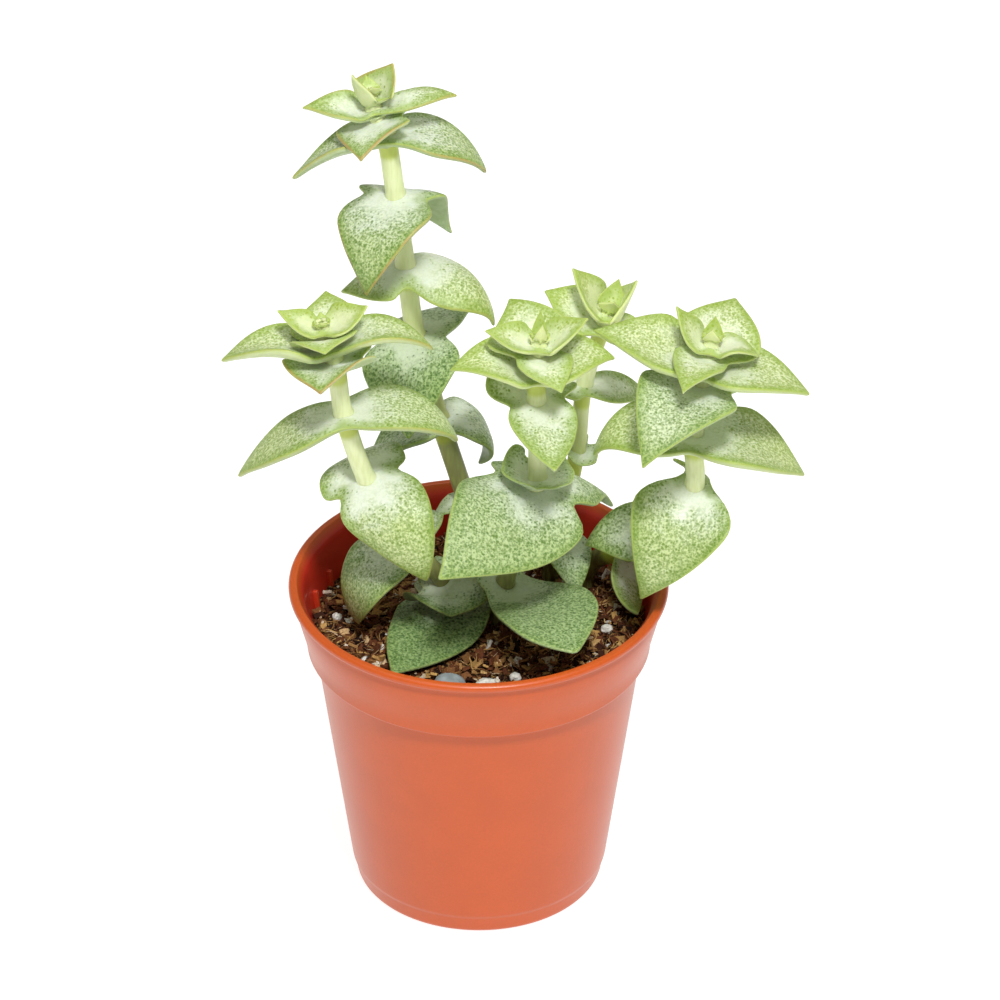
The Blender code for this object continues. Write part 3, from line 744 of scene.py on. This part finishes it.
def soil_finish(settings):
    """Dark compost with brown crumbs."""
    finish = Finish("peat_compost", 0.95, 0.2)
    crumbs = finish.span(finish.cells(0.9), 0.1, 0.6)
    body = finish.mix(crumbs, settings.bark, settings.peat)
    body = finish.mix(finish.span(finish.cloud(0.5, 4.0), 0.5, 0.7, 0.0, 0.5), body, settings.straw)
    finish.color(body)
    finish.bump(finish.cloud(0.5, 5.0), 0.5)
    return finish.material


def litter_finish(settings):
    """Chips and fibres, each with its own tint from dark peat to straw."""
    finish = Finish("bark_and_fibre", 0.8, 0.25)
    body = finish.scale(finish.mark("tint"), settings.peat, settings.bark, settings.straw, settings.crumb)
    grain = finish.span(finish.cloud(0.25, 3.0), 0.35, 0.7)
    finish.color(finish.mix(finish.product(grain, 0.35), body, settings.peat))
    finish.bump(finish.cloud(0.2, 3.0), 0.1)
    return finish.material


def grain_finish(name, color, factor, size):
    """Dull grain with a fine mottle, whose spots are the colour toned by a factor."""
    finish = Finish(name, 0.8, 0.3)
    spots = finish.span(finish.cloud(size, 4.0), 0.35, 0.7)
    finish.color(finish.mix(spots, color, toned(color, factor)))
    finish.bump(finish.cloud(size * 0.6, 4.0), 0.15)
    return finish.material


# Stems


def stem_route(stem):
    """Places that the middle of a stem passes, from its foot to its tip."""
    route = [Vector((*stem.foot, SOCKET_FLOOR + 0.3)), Vector((*stem.foot, UPRIGHT_TO))]
    route += [Vector(stop.at) for stop in stem.route]
    last = route[-1] - route[-2]
    route.append(route[-1] + last.normalized() * STEM_END)
    return route


def stem_headings(route):
    """Direction of the stem at each place: straight up in the soil, then a smooth curve."""
    headings = [Vector((0.0, 0.0, 1.0)), Vector((0.0, 0.0, 1.0))]
    for before, after in zip(route[1:], route[3:]):
        headings.append((after - before).normalized())
    headings.append((route[-1] - route[-2]).normalized())
    return headings


def stem_radius(stem, number, count):
    """Radius at a place on the route: full at the foot, half at the tip."""
    share = ramp(((number - 1) / (count - 2)) ** STEM_TAPER)
    return blend(stem.radius, stem.radius * STEM_TIP_SHARE, share)


def has_pair(stem, number):
    """Whether a leaf pair sits at a place on the stem's route."""
    return 2 <= number < len(stem.route) + 2 and isinstance(stem.route[number - 2], Pair)


def stem_stations(stem):
    """Close stations along a stem: place, heading, radius, and how far over one pair and under the next."""
    route = stem_route(stem)
    headings = stem_headings(route)
    stations = []
    for number in range(len(route) - 1):
        start, end = route[number], route[number + 1]
        reach = (end - start).length
        steps = max(3, round(reach / STEM_PACE))
        for step in range(steps + (number == len(route) - 2)):
            share = step / steps
            place = hermite(start, headings[number] * reach, end, headings[number + 1] * reach, share)
            heading = headings[number].lerp(headings[number + 1], share).normalized()
            radius = stem_radius(stem, number + share, len(route))
            over = reach * share if has_pair(stem, number) else FAR
            under = reach * (1.0 - share) if has_pair(stem, number + 1) and reach > COLLAR_LEAST else FAR
            stations.append((place, heading, radius, over, under))
    return stations


def make_stem(stem, finish):
    """One stem: a tube that swells a little where it leaves a leaf pair, closed at both ends."""
    stations = stem_stations(stem)
    last = len(stations) + 1

    def place(ring, spoke):
        spot, heading, radius, over, under = stations[min(max(ring - 1, 0), len(stations) - 1)]
        if ring in (0, last):
            radius = 0.0
        node = NODE_SWELL * math.exp(-((over - 0.2) / 0.6) ** 2)
        radius *= 1.0 + node + COLLAR_SWELL * math.exp(-(under / 0.7) ** 2)
        angle = math.tau * spoke / STEM_SPOKES
        side = heading.cross(Vector((0.0, 1.0, 0.0))).normalized()
        front = side.cross(heading)
        drift = spot * 0.35 + Vector((3.0 * math.cos(angle), 3.0 * math.sin(angle), 0.0))
        wobble = 1.0 + 0.03 * noise.noise(drift)
        reach = (side * math.cos(angle) + front * math.sin(angle)) * radius * wobble
        youth = ramp((spot.z - UPRIGHT_TO) / stem.greens)
        # below carries the distance to the next pair, where the finish paints that pair's shadow.
        return spot + reach, {"youth": youth, "below": under}

    piece = ringed(f"{stem.name}_stem_skin", STEM_SPOKES, last + 1, place)
    weld(piece)
    round_off(piece)
    settle(piece, "stem", finish, f"{stem.name}_stem")


# Leaves


def half_width(leaf, waist, share):
    """Half width of a leaf at a share of its length: waist, rounded shoulder, pointed tip."""
    if share < leaf.widest:
        return blend(waist, leaf.width, math.sin(math.pi / 2.0 * share / leaf.widest))
    tail = (share - leaf.widest) / (1.0 - leaf.widest)
    return leaf.width * (1.0 - tail ** leaf.point) * (1.0 - TIP_PINCH * tail ** 4)


def leaf_spot(leaf, waist_cup, hole, along, across, raised):
    """Place on a leaf's upper side, in its pair's frame, from its flat pattern."""
    reach = max(along - hole, 0.0)
    share = reach / (leaf.length - hole)
    x, z = min(along, hole), 0.0
    slope = 0.0
    for step in range(WALK):
        part = share * (step + 0.5) / WALK
        slope = blend(leaf.rise, leaf.fall, part ** BEND_POWER) * ramp(part / EASE)
        x += math.cos(math.radians(slope)) * reach / WALK
        z += math.sin(math.radians(slope)) * reach / WALK
    cup = blend(waist_cup, leaf.cup, ramp(share / CUP_REACH))
    lift = cup * across * across / leaf.width + raised
    roll = math.radians(leaf.roll) * ramp(share / 0.5)
    side = across * math.cos(roll) - lift * math.sin(roll)
    up = across * math.sin(roll) + lift * math.cos(roll)
    x -= math.sin(math.radians(slope)) * up
    z += math.cos(math.radians(slope)) * up
    return x, side + leaf.skew * leaf.length * share * share, z


def pair_pattern(pair, hole):
    """Flat pattern of a pair: for each spoke its leaf, its direction, its start and its margin."""
    waist = max(WAIST * (pair.near.width + pair.far.width) / 2.0, hole + WAIST_LEAST)
    spokes = []
    for spoke in range(4 * QUARTER):
        angle = math.tau * spoke / (4 * QUARTER)
        leaf, end = (pair.near, 1.0) if math.cos(angle) > -1e-6 else (pair.far, -1.0)
        step = abs(QUARTER - spoke % (2 * QUARTER)) / QUARTER
        part = 1.0 - (1.0 - step) ** 1.25
        edge = half_width(leaf, waist, part) * (1.0 if spoke <= 2 * QUARTER else -1.0)
        start = (abs(hole * math.cos(angle)), hole * math.sin(angle))
        spokes.append((leaf, end, start, (leaf.length * part, edge)))
    return spokes


def pair_frame(at, heading, turn):
    """Placement of a pair in millimetres: its Z axis along the stem, its X axis towards the turn angle."""
    aim = Vector((math.cos(math.radians(turn)), math.sin(math.radians(turn)), 0.0))
    across = heading.cross(aim).normalized()
    forward = across.cross(heading)
    rotation = Matrix((forward, across, heading)).transposed().to_4x4()
    return Matrix.Translation(at) @ rotation


def pair_sheet(name, pair, radius, heading):
    """Upper side of a pair as one open sheet, with the marks that its flesh and its finish read."""
    hole = radius - HOLE_INSET
    spokes = pair_pattern(pair, hole)
    margin = [(end * along, across) for _, end, _, (along, across) in spokes]
    placement = pair_frame(Vector(pair.at), heading, pair.turn)
    waist_cup = (pair.near.cup + pair.far.cup) / 2.0
    seed = Vector((pair.at[0] * 3.1, pair.at[1] * 1.7, pair.at[2] * 2.3))
    ripple_height = RIPPLE * (1.0 - 0.8 * pair.youth)

    def place(ring, spoke):
        leaf, end, start, edge = spokes[spoke]
        share = RINGS[ring]
        along = blend(start[0], edge[0], share)
        across = blend(start[1], edge[1], share)
        waves = noise.noise(seed + Vector((along * end, across, 0.0)) * RIPPLE_PACE)
        ripple = ripple_height * waves * ramp(share * 1.5)
        close = 1.0 - ramp((math.hypot(along, across) - hole) / SHEATH_REACH)
        raised = PLUMP * ramp(share * 3.0) * (1.0 - share ** 4) + ripple + SHEATH * close
        x, y, z = leaf_spot(leaf, waist_cup, hole, along, across * end, raised)
        marks = {
            "inset": min(math.dist((end * along, across), spot) for spot in margin),
            "outward": math.hypot(along, across),
            "sheath": close,
            "youth": pair.youth,
            "blush": leaf.blush * ramp(along / leaf.length / BLUSH_REACH),
        }
        return placement @ Vector((x * end, y * end, z)), marks

    sheet = ringed(name, 4 * QUARTER, len(RINGS), place)
    if sum((face.normal.dot(heading) * face.area for face in sheet.data.polygons), 0.0) < 0.0:
        sheet.data.flip_normals()
    # Painted top light: how far each vertex faces up, for the finish to paint it paler.
    mark(sheet, "painted_top_light", [ramp((vertex.normal.z - 0.55) / 0.45) for vertex in sheet.data.vertices])
    return sheet


def flesh_out(sheet, thickness):
    """Give a sheet its flesh below: full in the middle, thin at the margin, fullest round the stem."""
    flesh = sheet.vertex_groups.new(name="flesh")
    insets, sheaths = marks_of(sheet, "inset"), marks_of(sheet, "sheath")
    reach = min(MARGIN_REACH, max(insets))
    for vertex, inset, sheath in zip(sheet.data.vertices, insets, sheaths):
        depth = min(inset / reach, 1.0)
        share = blend(MARGIN_SHARE, 1.0, depth ** 0.6) + sheath * (SHEATH_FLESH - 1.0)
        flesh.add([vertex.index], share / SHEATH_FLESH, "REPLACE")
    upper = len(sheet.data.vertices)
    apply_modifier(
        sheet, "SOLIDIFY", thickness=thickness * SHEATH_FLESH * MM, offset=-1.0, vertex_group="flesh",
        use_even_offset=False,
    )
    mark(sheet, "underside", [0.0] * upper + [1.0] * (len(sheet.data.vertices) - upper))


def make_pair(name, pair, radius, heading, finish, *nodes):
    """Two leaves grown together round the stem."""
    piece = pair_sheet(name, pair, radius, heading)
    length = (pair.near.length + pair.far.length) / 2.0
    flesh_out(piece, THICKNESS_SHARE * length + THICKNESS_BASE)
    round_off(piece)
    settle(piece, "leaf", finish, *nodes)


def make_leaves(stem, finish):
    """All leaf pairs of a stem, numbered from the lowest."""
    route = stem_route(stem)
    headings = stem_headings(route)
    number = 0
    for index, stop in enumerate(stem.route, start=2):
        if not isinstance(stop, Pair):
            continue
        number += 1
        radius = stem_radius(stem, index, len(route))
        name = f"{stem.name}_leaves_{number}"
        make_pair(name, stop, radius, headings[index], finish, f"{stem.name}_leaf_pair_{number}")


def make_bud(stem, finish):
    """Leaves that are still opening at a stem's tip."""
    heading = stem_headings(stem_route(stem))[-1]
    make_pair(f"{stem.name}_bud", BUDS[stem.name], stem.radius * STEM_TIP_SHARE, heading, finish)


# Pot


def pot_outside(height):
    """Outer radius of the pot's plain body at a height."""
    return blend(BASE_RADIUS, LIP_RADIUS - BAND_STAND - BODY_INSET, height / POT_HEIGHT)


def pot_inside(height):
    """Inner radius of the pot at a height."""
    step = ramp((height - POT_HEIGHT + BAND_DEPTH + 1.5) / 2.5)
    return pot_outside(height) - WALL + BAND_STAND * step


def arc(radius, height, size, start, end, steps=6):
    """Points of a rounded edge about a centre, with its angles in degrees."""
    angles = [math.radians(blend(start, end, step / steps)) for step in range(steps + 1)]
    return [(radius + size * math.cos(angle), height + size * math.sin(angle)) for angle in angles]


def pot_profile(lip, top):
    """Radius and height round the pot's wall, from the middle of the floor inside to the base's middle."""
    foot = top - BAND_DEPTH
    inside = pot_inside(top)
    band = pot_outside(foot) + BAND_STAND
    profile = [(0.0, FLOOR), (8.0, FLOOR), (14.0, FLOOR), (pot_inside(FLOOR) - 0.8, FLOOR)]
    profile += [(pot_inside(height), height) for height in (FLOOR + 0.6, FLOOR + 1.4, 8.0, 20.0, 32.0)]
    for step in (-1.5, -0.8, -0.2, 0.4, 1.0, 3.0, 6.0, 8.5):
        profile.append((pot_inside(foot + step), foot + step))
    profile += [(inside, top - LIP_BEVEL_DEPTH - 0.1), (inside + 0.08, top - LIP_BEVEL_DEPTH + 0.05)]
    profile += arc(inside + LIP_BEVEL + LIP_BEVEL_EDGE, top - LIP_BEVEL_EDGE, LIP_BEVEL_EDGE, 150.0, 90.0)
    profile += arc(lip - LIP_ROLL, top - LIP_ROLL, LIP_ROLL, 90.0, -55.0, 10)
    profile += [(lip - 0.75, top - 1.4), (lip - 0.88, top - 1.75), (lip - 0.9, top - 2.3)]
    for share in (0.0, 0.35, 0.7, 1.0):
        profile.append((blend(lip - 0.92, band, share), blend(top - 3.0, foot + 1.2, share)))
    profile += arc(band - BAND_ROLL, foot + 0.4, BAND_ROLL, 0.0, -80.0, 5)
    profile += [(pot_outside(foot) + 0.12, foot - 0.12), (pot_outside(foot) + 0.02, foot - 0.4)]
    profile += [(pot_outside(height), height) for height in (foot - 1.2, 34.0, 26.0, 18.0, 10.0, 5.0, 3.6)]
    for height, step in ((3.2, 0.02), (3.0, 0.14), (2.7, 0.16)):
        profile.append((pot_outside(height) - step, height))
    profile += arc(BASE_RADIUS - 1.15, BASE_ROLL, BASE_ROLL, 0.0, -90.0, 6)
    profile += [(16.0, 0.0), (8.0, 0.0), (0.0, 0.0)]
    return profile


def make_pot(settings):
    """Moulded pot with its lip, raised band, drain holes and the two short ribs inside."""
    lip, top = settings.lip_radius / MM, settings.height / MM
    profile = pot_profile(lip, top)
    crest = next(ring for ring, (_, height) in enumerate(profile) if height > top - 0.02)

    def place(ring, spoke):
        angle = math.tau * spoke / POT_SPOKES
        radius, height = profile[ring]
        # Painted shade on the inner wall, full from half a millimetre under the lip's top down to the floor.
        depth = ramp((top - 0.1 - height) / 0.35) if ring < crest else 0.0
        return (radius * math.cos(angle), radius * math.sin(angle), height), {"inner": depth}

    pot = ringed("nursery_pot", POT_SPOKES, len(profile), place)
    weld(pot)
    deselect()
    for number in range(DRAIN_HOLES):
        angle = math.radians(DRAIN_TURN) + math.tau * number / DRAIN_HOLES
        spot = (DRAIN_CIRCLE * math.cos(angle) * MM, DRAIN_CIRCLE * math.sin(angle) * MM, 0.5 * MM)
        bpy.ops.mesh.primitive_cylinder_add(
            vertices=32, radius=DRAIN_RADIUS * MM, depth=4.0 * MM, location=spot
        )
        drill = bpy.context.object
        apply_modifier(pot, "BOOLEAN", operation="DIFFERENCE", object=drill)
        bpy.data.objects.remove(drill, do_unlink=True)
    smooth(pot, 38.0)
    finish = pot_finish(settings)
    settle(pot, "pot", finish, "pot")
    for number, turn in enumerate(RIB_TURNS):
        make_rib(f"pot_rib_{number + 1}", turn, finish)


def make_rib(name, turn, finish):
    """Short upright rib on the pot's inner wall."""
    low, high = RIB_HEIGHTS
    deselect()
    bpy.ops.mesh.primitive_cube_add(size=1.0)
    rib = bpy.context.object
    rib.name = name
    bpy.ops.object.mode_set(mode="EDIT")
    bpy.ops.mesh.select_all(action="SELECT")
    bpy.ops.transform.resize(value=(RIB_SECTION[0] * MM, RIB_SECTION[1] * MM, (high - low) * MM))
    bpy.ops.mesh.bevel(offset=RIB_EDGE * MM, segments=3)
    bpy.ops.object.mode_set(mode="OBJECT")
    middle = (low + high) / 2.0
    swing = Matrix.Rotation(math.radians(turn), 4, "Z")
    shift = Matrix.Translation(Vector((pot_inside(middle) - 0.1, 0.0, middle)) * MM)
    lean = Matrix.Rotation(math.atan(RIB_SLOPE), 4, "Y")
    rib.data.transform(swing @ shift @ lean)
    smooth(rib)
    # Painted shade on the ribs, a little less than on the wall round them.
    mark(rib, "inner", [0.75] * len(rib.data.vertices))
    settle(rib, "pot", finish)


# Soil


def soil_height(radius):
    """Height of the gently domed soil at a distance from the pot's axis."""
    edge = pot_inside(SOIL_EDGE)
    return blend(SOIL_CROWN, SOIL_EDGE, (radius / edge) ** 2)


def grain_spot(grain):
    """Centre of a grain that is sunk halfway into the soil."""
    (across, along), _ = grain
    return Vector((across, along, soil_height(math.hypot(across, along))))


def make_soil(settings):
    """Body of compost with a crumbly top."""
    edge = pot_inside(SOIL_EDGE) - 0.05
    bottom = FLOOR + SOIL_PLAY
    side = [(edge, SOIL_EDGE - 1.2), (pot_inside(38.0) - 0.1, 38.0), (pot_inside(20.0) - SOIL_PLAY, 20.0)]
    side += [(pot_inside(FLOOR + 1.0) - SOIL_PLAY, bottom + 1.0), (pot_inside(FLOOR) - 1.1, bottom)]
    side += [(0.0, bottom)]

    def place(ring, spoke):
        angle = math.tau * spoke / SOIL_SPOKES
        if ring >= SOIL_RINGS:
            radius, height = side[ring - SOIL_RINGS]
            return (radius * math.cos(angle), radius * math.sin(angle), height), {}
        radius = edge * (ring / (SOIL_RINGS - 1)) ** 0.8
        x, y = radius * math.cos(angle), radius * math.sin(angle)
        spot = Vector((x, y, 0.0))
        lumps = noise.noise(spot * 0.55) + 0.6 * noise.noise(spot * 1.3) + 0.35 * noise.noise(spot * 2.9)
        sink = 0.15 + LUMP_SIZE * (0.55 - lumps) * 0.75
        return (x, y, soil_height(radius) - max(sink, -0.1)), {}

    soil = ringed("compost", SOIL_SPOKES, SOIL_RINGS + len(side), place)
    weld(soil)
    smooth(soil, 60.0)
    settle(soil, "soil", soil_finish(settings), "soil")


def make_grain(name, grain, roughness, seed, finish, node):
    """Rounded grain, lumpy by a share of its size."""
    deselect()
    bpy.ops.mesh.primitive_ico_sphere_add(subdivisions=4, radius=1.0)
    piece = bpy.context.object
    piece.name = name
    spot, halves = grain_spot(grain), grain[1]
    for vertex in piece.data.vertices:
        swell = 1.0 - roughness + roughness * noise.noise(vertex.co * 1.6 + Vector((seed, 0.0, 0.0)))
        swell += 0.4 * roughness * noise.noise(vertex.co * 5.0 + Vector((0.0, seed, 0.0)))
        vertex.co = (Vector(part * half * swell for part, half in zip(vertex.co, halves)) + spot) * MM
    smooth(piece, 60.0)
    settle(piece, node.split("_")[0], finish, node)


def make_grains(settings):
    """Grey pebble and white grains of perlite."""
    pebble = grain_finish("grey_pebble", settings.stone, 1.5, 1.5)
    make_grain("grey_pebble", PEBBLE, 0.08, 2.0, pebble, "pebble")
    perlite = grain_finish("white_perlite", settings.crumb, 0.72, 0.6)
    for number, grain in enumerate(PERLITE):
        make_grain(f"white_grain_{number + 1}", grain, 0.2, number * 7.0, perlite, f"perlite_{number + 1}")


def chip_pattern():
    """Flat broken flake, one millimetre long."""
    deselect()
    bpy.ops.mesh.primitive_cube_add(size=1.0)
    chip = bpy.context.object
    bpy.ops.object.mode_set(mode="EDIT")
    bpy.ops.mesh.select_all(action="SELECT")
    bpy.ops.transform.resize(value=(MM, 0.55 * MM, 0.22 * MM))
    bpy.ops.mesh.subdivide(number_cuts=1)
    bpy.ops.object.mode_set(mode="OBJECT")
    for vertex in chip.data.vertices:
        vertex.co += noise.noise_vector(vertex.co / MM * 1.4) * 0.2 * MM
    return chip


def fibre_pattern():
    """Thin bent thread, one millimetre long."""
    last = FIBRE_RINGS - 1

    def place(ring, spoke):
        share = min(max(ring - 1, 0), last - 2) / (last - 2)
        angle = math.tau * spoke / FIBRE_SPOKES
        radius = 0.0 if ring in (0, last) else 0.03 * math.sin(math.pi * blend(0.12, 0.88, share))
        bend = 0.16 * math.sin(math.pi * share) + 0.05 * math.sin(3.0 * math.pi * share)
        return (share - 0.5, bend + radius * math.cos(angle), radius * math.sin(angle)), {}

    fibre = ringed("fibre", FIBRE_SPOKES, FIBRE_RINGS, place)
    weld(fibre)
    return fibre


def litter_places(chooser, count, sizes, rests, tilt, keep_off):
    """Random placements on the soil, clear of leaves, stems and grains."""
    places = []
    while len(places) < count:
        radius = (pot_inside(SOIL_EDGE) - 0.5) * math.sqrt(chooser.random())
        angle = chooser.uniform(0.0, math.tau)
        size = blend(*sizes, chooser.random() ** 2.2)
        height = soil_height(radius) + chooser.uniform(*rests)
        spot = Vector((radius * math.cos(angle), radius * math.sin(angle), height)) * MM
        turn = Matrix.Rotation(chooser.uniform(0.0, math.tau), 4, "Z")
        pitch = Matrix.Rotation(chooser.gauss(0.0, tilt), 4, "Y")
        roll = Matrix.Rotation(chooser.gauss(0.0, tilt), 4, "X")
        near = keep_off.find_nearest(spot, (0.5 * size + 0.35) * MM)[0]
        reach = math.hypot(spot.x, spot.y) / MM + size * 0.4
        if near is None and reach < pot_inside(SOIL_EDGE):
            places.append(Matrix.Translation(spot) @ turn @ (pitch @ roll) @ Matrix.Scale(size, 4))
    return places


def planted_surface():
    """Surface of everything that the litter keeps clear of: all but the compost and the pot's shell."""
    vertices, faces = [], []
    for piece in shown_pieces():
        if piece.name == "compost" or piece.name.startswith("nursery") or piece.type != "MESH":
            continue
        start = len(vertices)
        vertices += [vertex.co.copy() for vertex in piece.data.vertices]
        faces += [tuple(start + corner for corner in face.vertices) for face in piece.data.polygons]
    return BVHTree.FromPolygons(vertices, faces)


def make_litter(settings):
    """Bark chips and fibres that cover the soil."""
    chooser = random.Random(settings.seed)
    keep_off = planted_surface()
    finish = litter_finish(settings)
    places = litter_places(chooser, settings.chips, CHIP_SIZES, CHIP_RESTS, CHIP_TILT, keep_off)
    tints = [min(1.0, max(0.0, chooser.gauss(0.24, 0.17) + 0.9 * chooser.random() ** 7)) for _ in places]
    chips = copies("bark_chips", chip_pattern(), places, tints)
    smooth(chips, 30.0)
    settle(chips, "soil", finish)
    places = litter_places(chooser, settings.fibres, FIBRE_SIZES, FIBRE_RESTS, FIBRE_TILT, keep_off)
    tints = [min(0.8, max(0.1, chooser.gauss(0.45, 0.18))) for _ in places]
    fibres = copies("fibres", fibre_pattern(), places, tints)
    smooth(fibres, 80.0)
    settle(fibres, "soil", finish)


# Stage


def add_light(name, place, size, power):
    """Square light at a place from the aim, which it faces."""
    spot = AIM + place
    bpy.ops.object.light_add(type="AREA", location=spot)
    light = bpy.context.object
    light.name = name
    light.data.energy = power
    light.data.size = size
    light.rotation_euler = (AIM - spot).to_track_quat("-Z", "Y").to_euler()


def add_camera(settings):
    """Camera that looks down at the aim from the front."""
    back = Vector((0.0, -math.cos(settings.elevation), math.sin(settings.elevation)))
    spot = AIM + back * settings.distance
    bpy.ops.object.camera_add(location=spot, rotation=(-back).to_track_quat("-Z", "Y").to_euler())
    camera = bpy.context.object
    camera.data.lens = settings.lens
    camera.data.sensor_width = 36.0
    camera.data.clip_start = 0.01
    camera.data.clip_end = 20.0
    bpy.context.scene.camera = camera


def make_stage(settings):
    """Pale floor, white surroundings, a main light from above and the camera."""
    deselect()
    bpy.ops.mesh.primitive_plane_add(size=6.0, location=(0.0, 0.0, -0.05 * MM))
    floor = bpy.context.object
    floor.name = "floor"
    finish = Finish("pale_floor", 0.9, 0.1)
    finish.put({
        "Base Color": (*settings.floor, 1.0),
        "Emission Color": (1.0, 1.0, 1.0, 1.0),
        "Emission Strength": settings.glow,
    })
    floor.data.materials.append(finish.material)
    floor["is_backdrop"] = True
    world = bpy.data.worlds.new("white_surroundings")
    world.use_nodes = True
    background = world.node_tree.nodes["Background"]
    background.inputs["Color"].default_value = (1.0, 1.0, 0.86, 1.0)
    background.inputs["Strength"].default_value = settings.fill
    bpy.context.scene.world = world
    add_light("main_light", MAIN_PLACE, MAIN_SIZE, settings.key)
    add_light("top_light", TOP_PLACE, TOP_SIZE, settings.top)
    add_camera(settings)
    bpy.context.scene.view_settings.view_transform = "Standard"


# Operators and panel


class PLANT_OT_leaves(bpy.types.Operator):
    """Build every leaf pair of the five stems"""

    bl_idname = "plant.leaves"
    bl_label = "Leaf pairs"

    def execute(self, context):
        finish = leaf_finish(context.scene.plant_leaves)
        for stem in STEMS:
            make_leaves(stem, finish)
        for stem in STEMS:
            if stem.name in BUDS:
                make_bud(stem, finish)
        return {"FINISHED"}


class PLANT_OT_stems(bpy.types.Operator):
    """Build the five stems"""

    bl_idname = "plant.stems"
    bl_label = "Stems"

    def execute(self, context):
        finish = stem_finish(context.scene.plant_stems)
        for stem in STEMS:
            make_stem(stem, finish)
        return {"FINISHED"}


class PLANT_OT_pot(bpy.types.Operator):
    """Build the moulded pot"""

    bl_idname = "plant.pot"
    bl_label = "Pot"

    def execute(self, context):
        make_pot(context.scene.plant_pot)
        return {"FINISHED"}


class PLANT_OT_soil(bpy.types.Operator):
    """Build the soil, its pebble and its white grains"""

    bl_idname = "plant.soil"
    bl_label = "Soil"

    def execute(self, context):
        make_soil(context.scene.plant_soil)
        make_grains(context.scene.plant_soil)
        return {"FINISHED"}


class PLANT_OT_litter(bpy.types.Operator):
    """Scatter bark chips and fibres on the soil"""

    bl_idname = "plant.litter"
    bl_label = "Litter"

    def execute(self, context):
        make_litter(context.scene.plant_soil)
        return {"FINISHED"}


class PLANT_OT_stage(bpy.types.Operator):
    """Set the floor, the lights and the camera"""

    bl_idname = "plant.stage"
    bl_label = "Stage"

    def execute(self, context):
        make_stage(context.scene.plant_stage)
        return {"FINISHED"}


OPERATORS = (PLANT_OT_leaves, PLANT_OT_stems, PLANT_OT_pot, PLANT_OT_soil, PLANT_OT_litter, PLANT_OT_stage)


class PLANT_PT_panel(bpy.types.Panel):
    """Settings and build buttons of the plant"""

    bl_idname = "PLANT_PT_panel"
    bl_label = "String of buttons"
    bl_space_type = "VIEW_3D"
    bl_region_type = "UI"
    bl_category = TAB

    def draw(self, context):
        for key, group in SETTINGS.items():
            box = self.layout.box()
            for name in group.__annotations__:
                box.prop(getattr(context.scene, key), name)
        for operator in OPERATORS:
            self.layout.operator(operator.bl_idname)


def register():
    """Register the settings, the operators and the panel."""
    for key, group in SETTINGS.items():
        bpy.utils.register_class(group)
        setattr(bpy.types.Scene, key, PointerProperty(type=group))
    for operator in OPERATORS:
        bpy.utils.register_class(operator)
    bpy.utils.register_class(PLANT_PT_panel)


def unregister():
    """Remove what register added."""
    bpy.utils.unregister_class(PLANT_PT_panel)
    for operator in reversed(OPERATORS):
        bpy.utils.unregister_class(operator)
    for key, group in reversed(SETTINGS.items()):
        delattr(bpy.types.Scene, key)
        bpy.utils.unregister_class(group)


def main():
    """Build the whole plant."""
    register()
    bpy.ops.plant.leaves()
    bpy.ops.plant.stems()
    bpy.ops.plant.pot()
    bpy.ops.plant.soil()
    bpy.ops.plant.litter()
    bpy.ops.plant.stage()


if __name__ == "__main__":
    main()
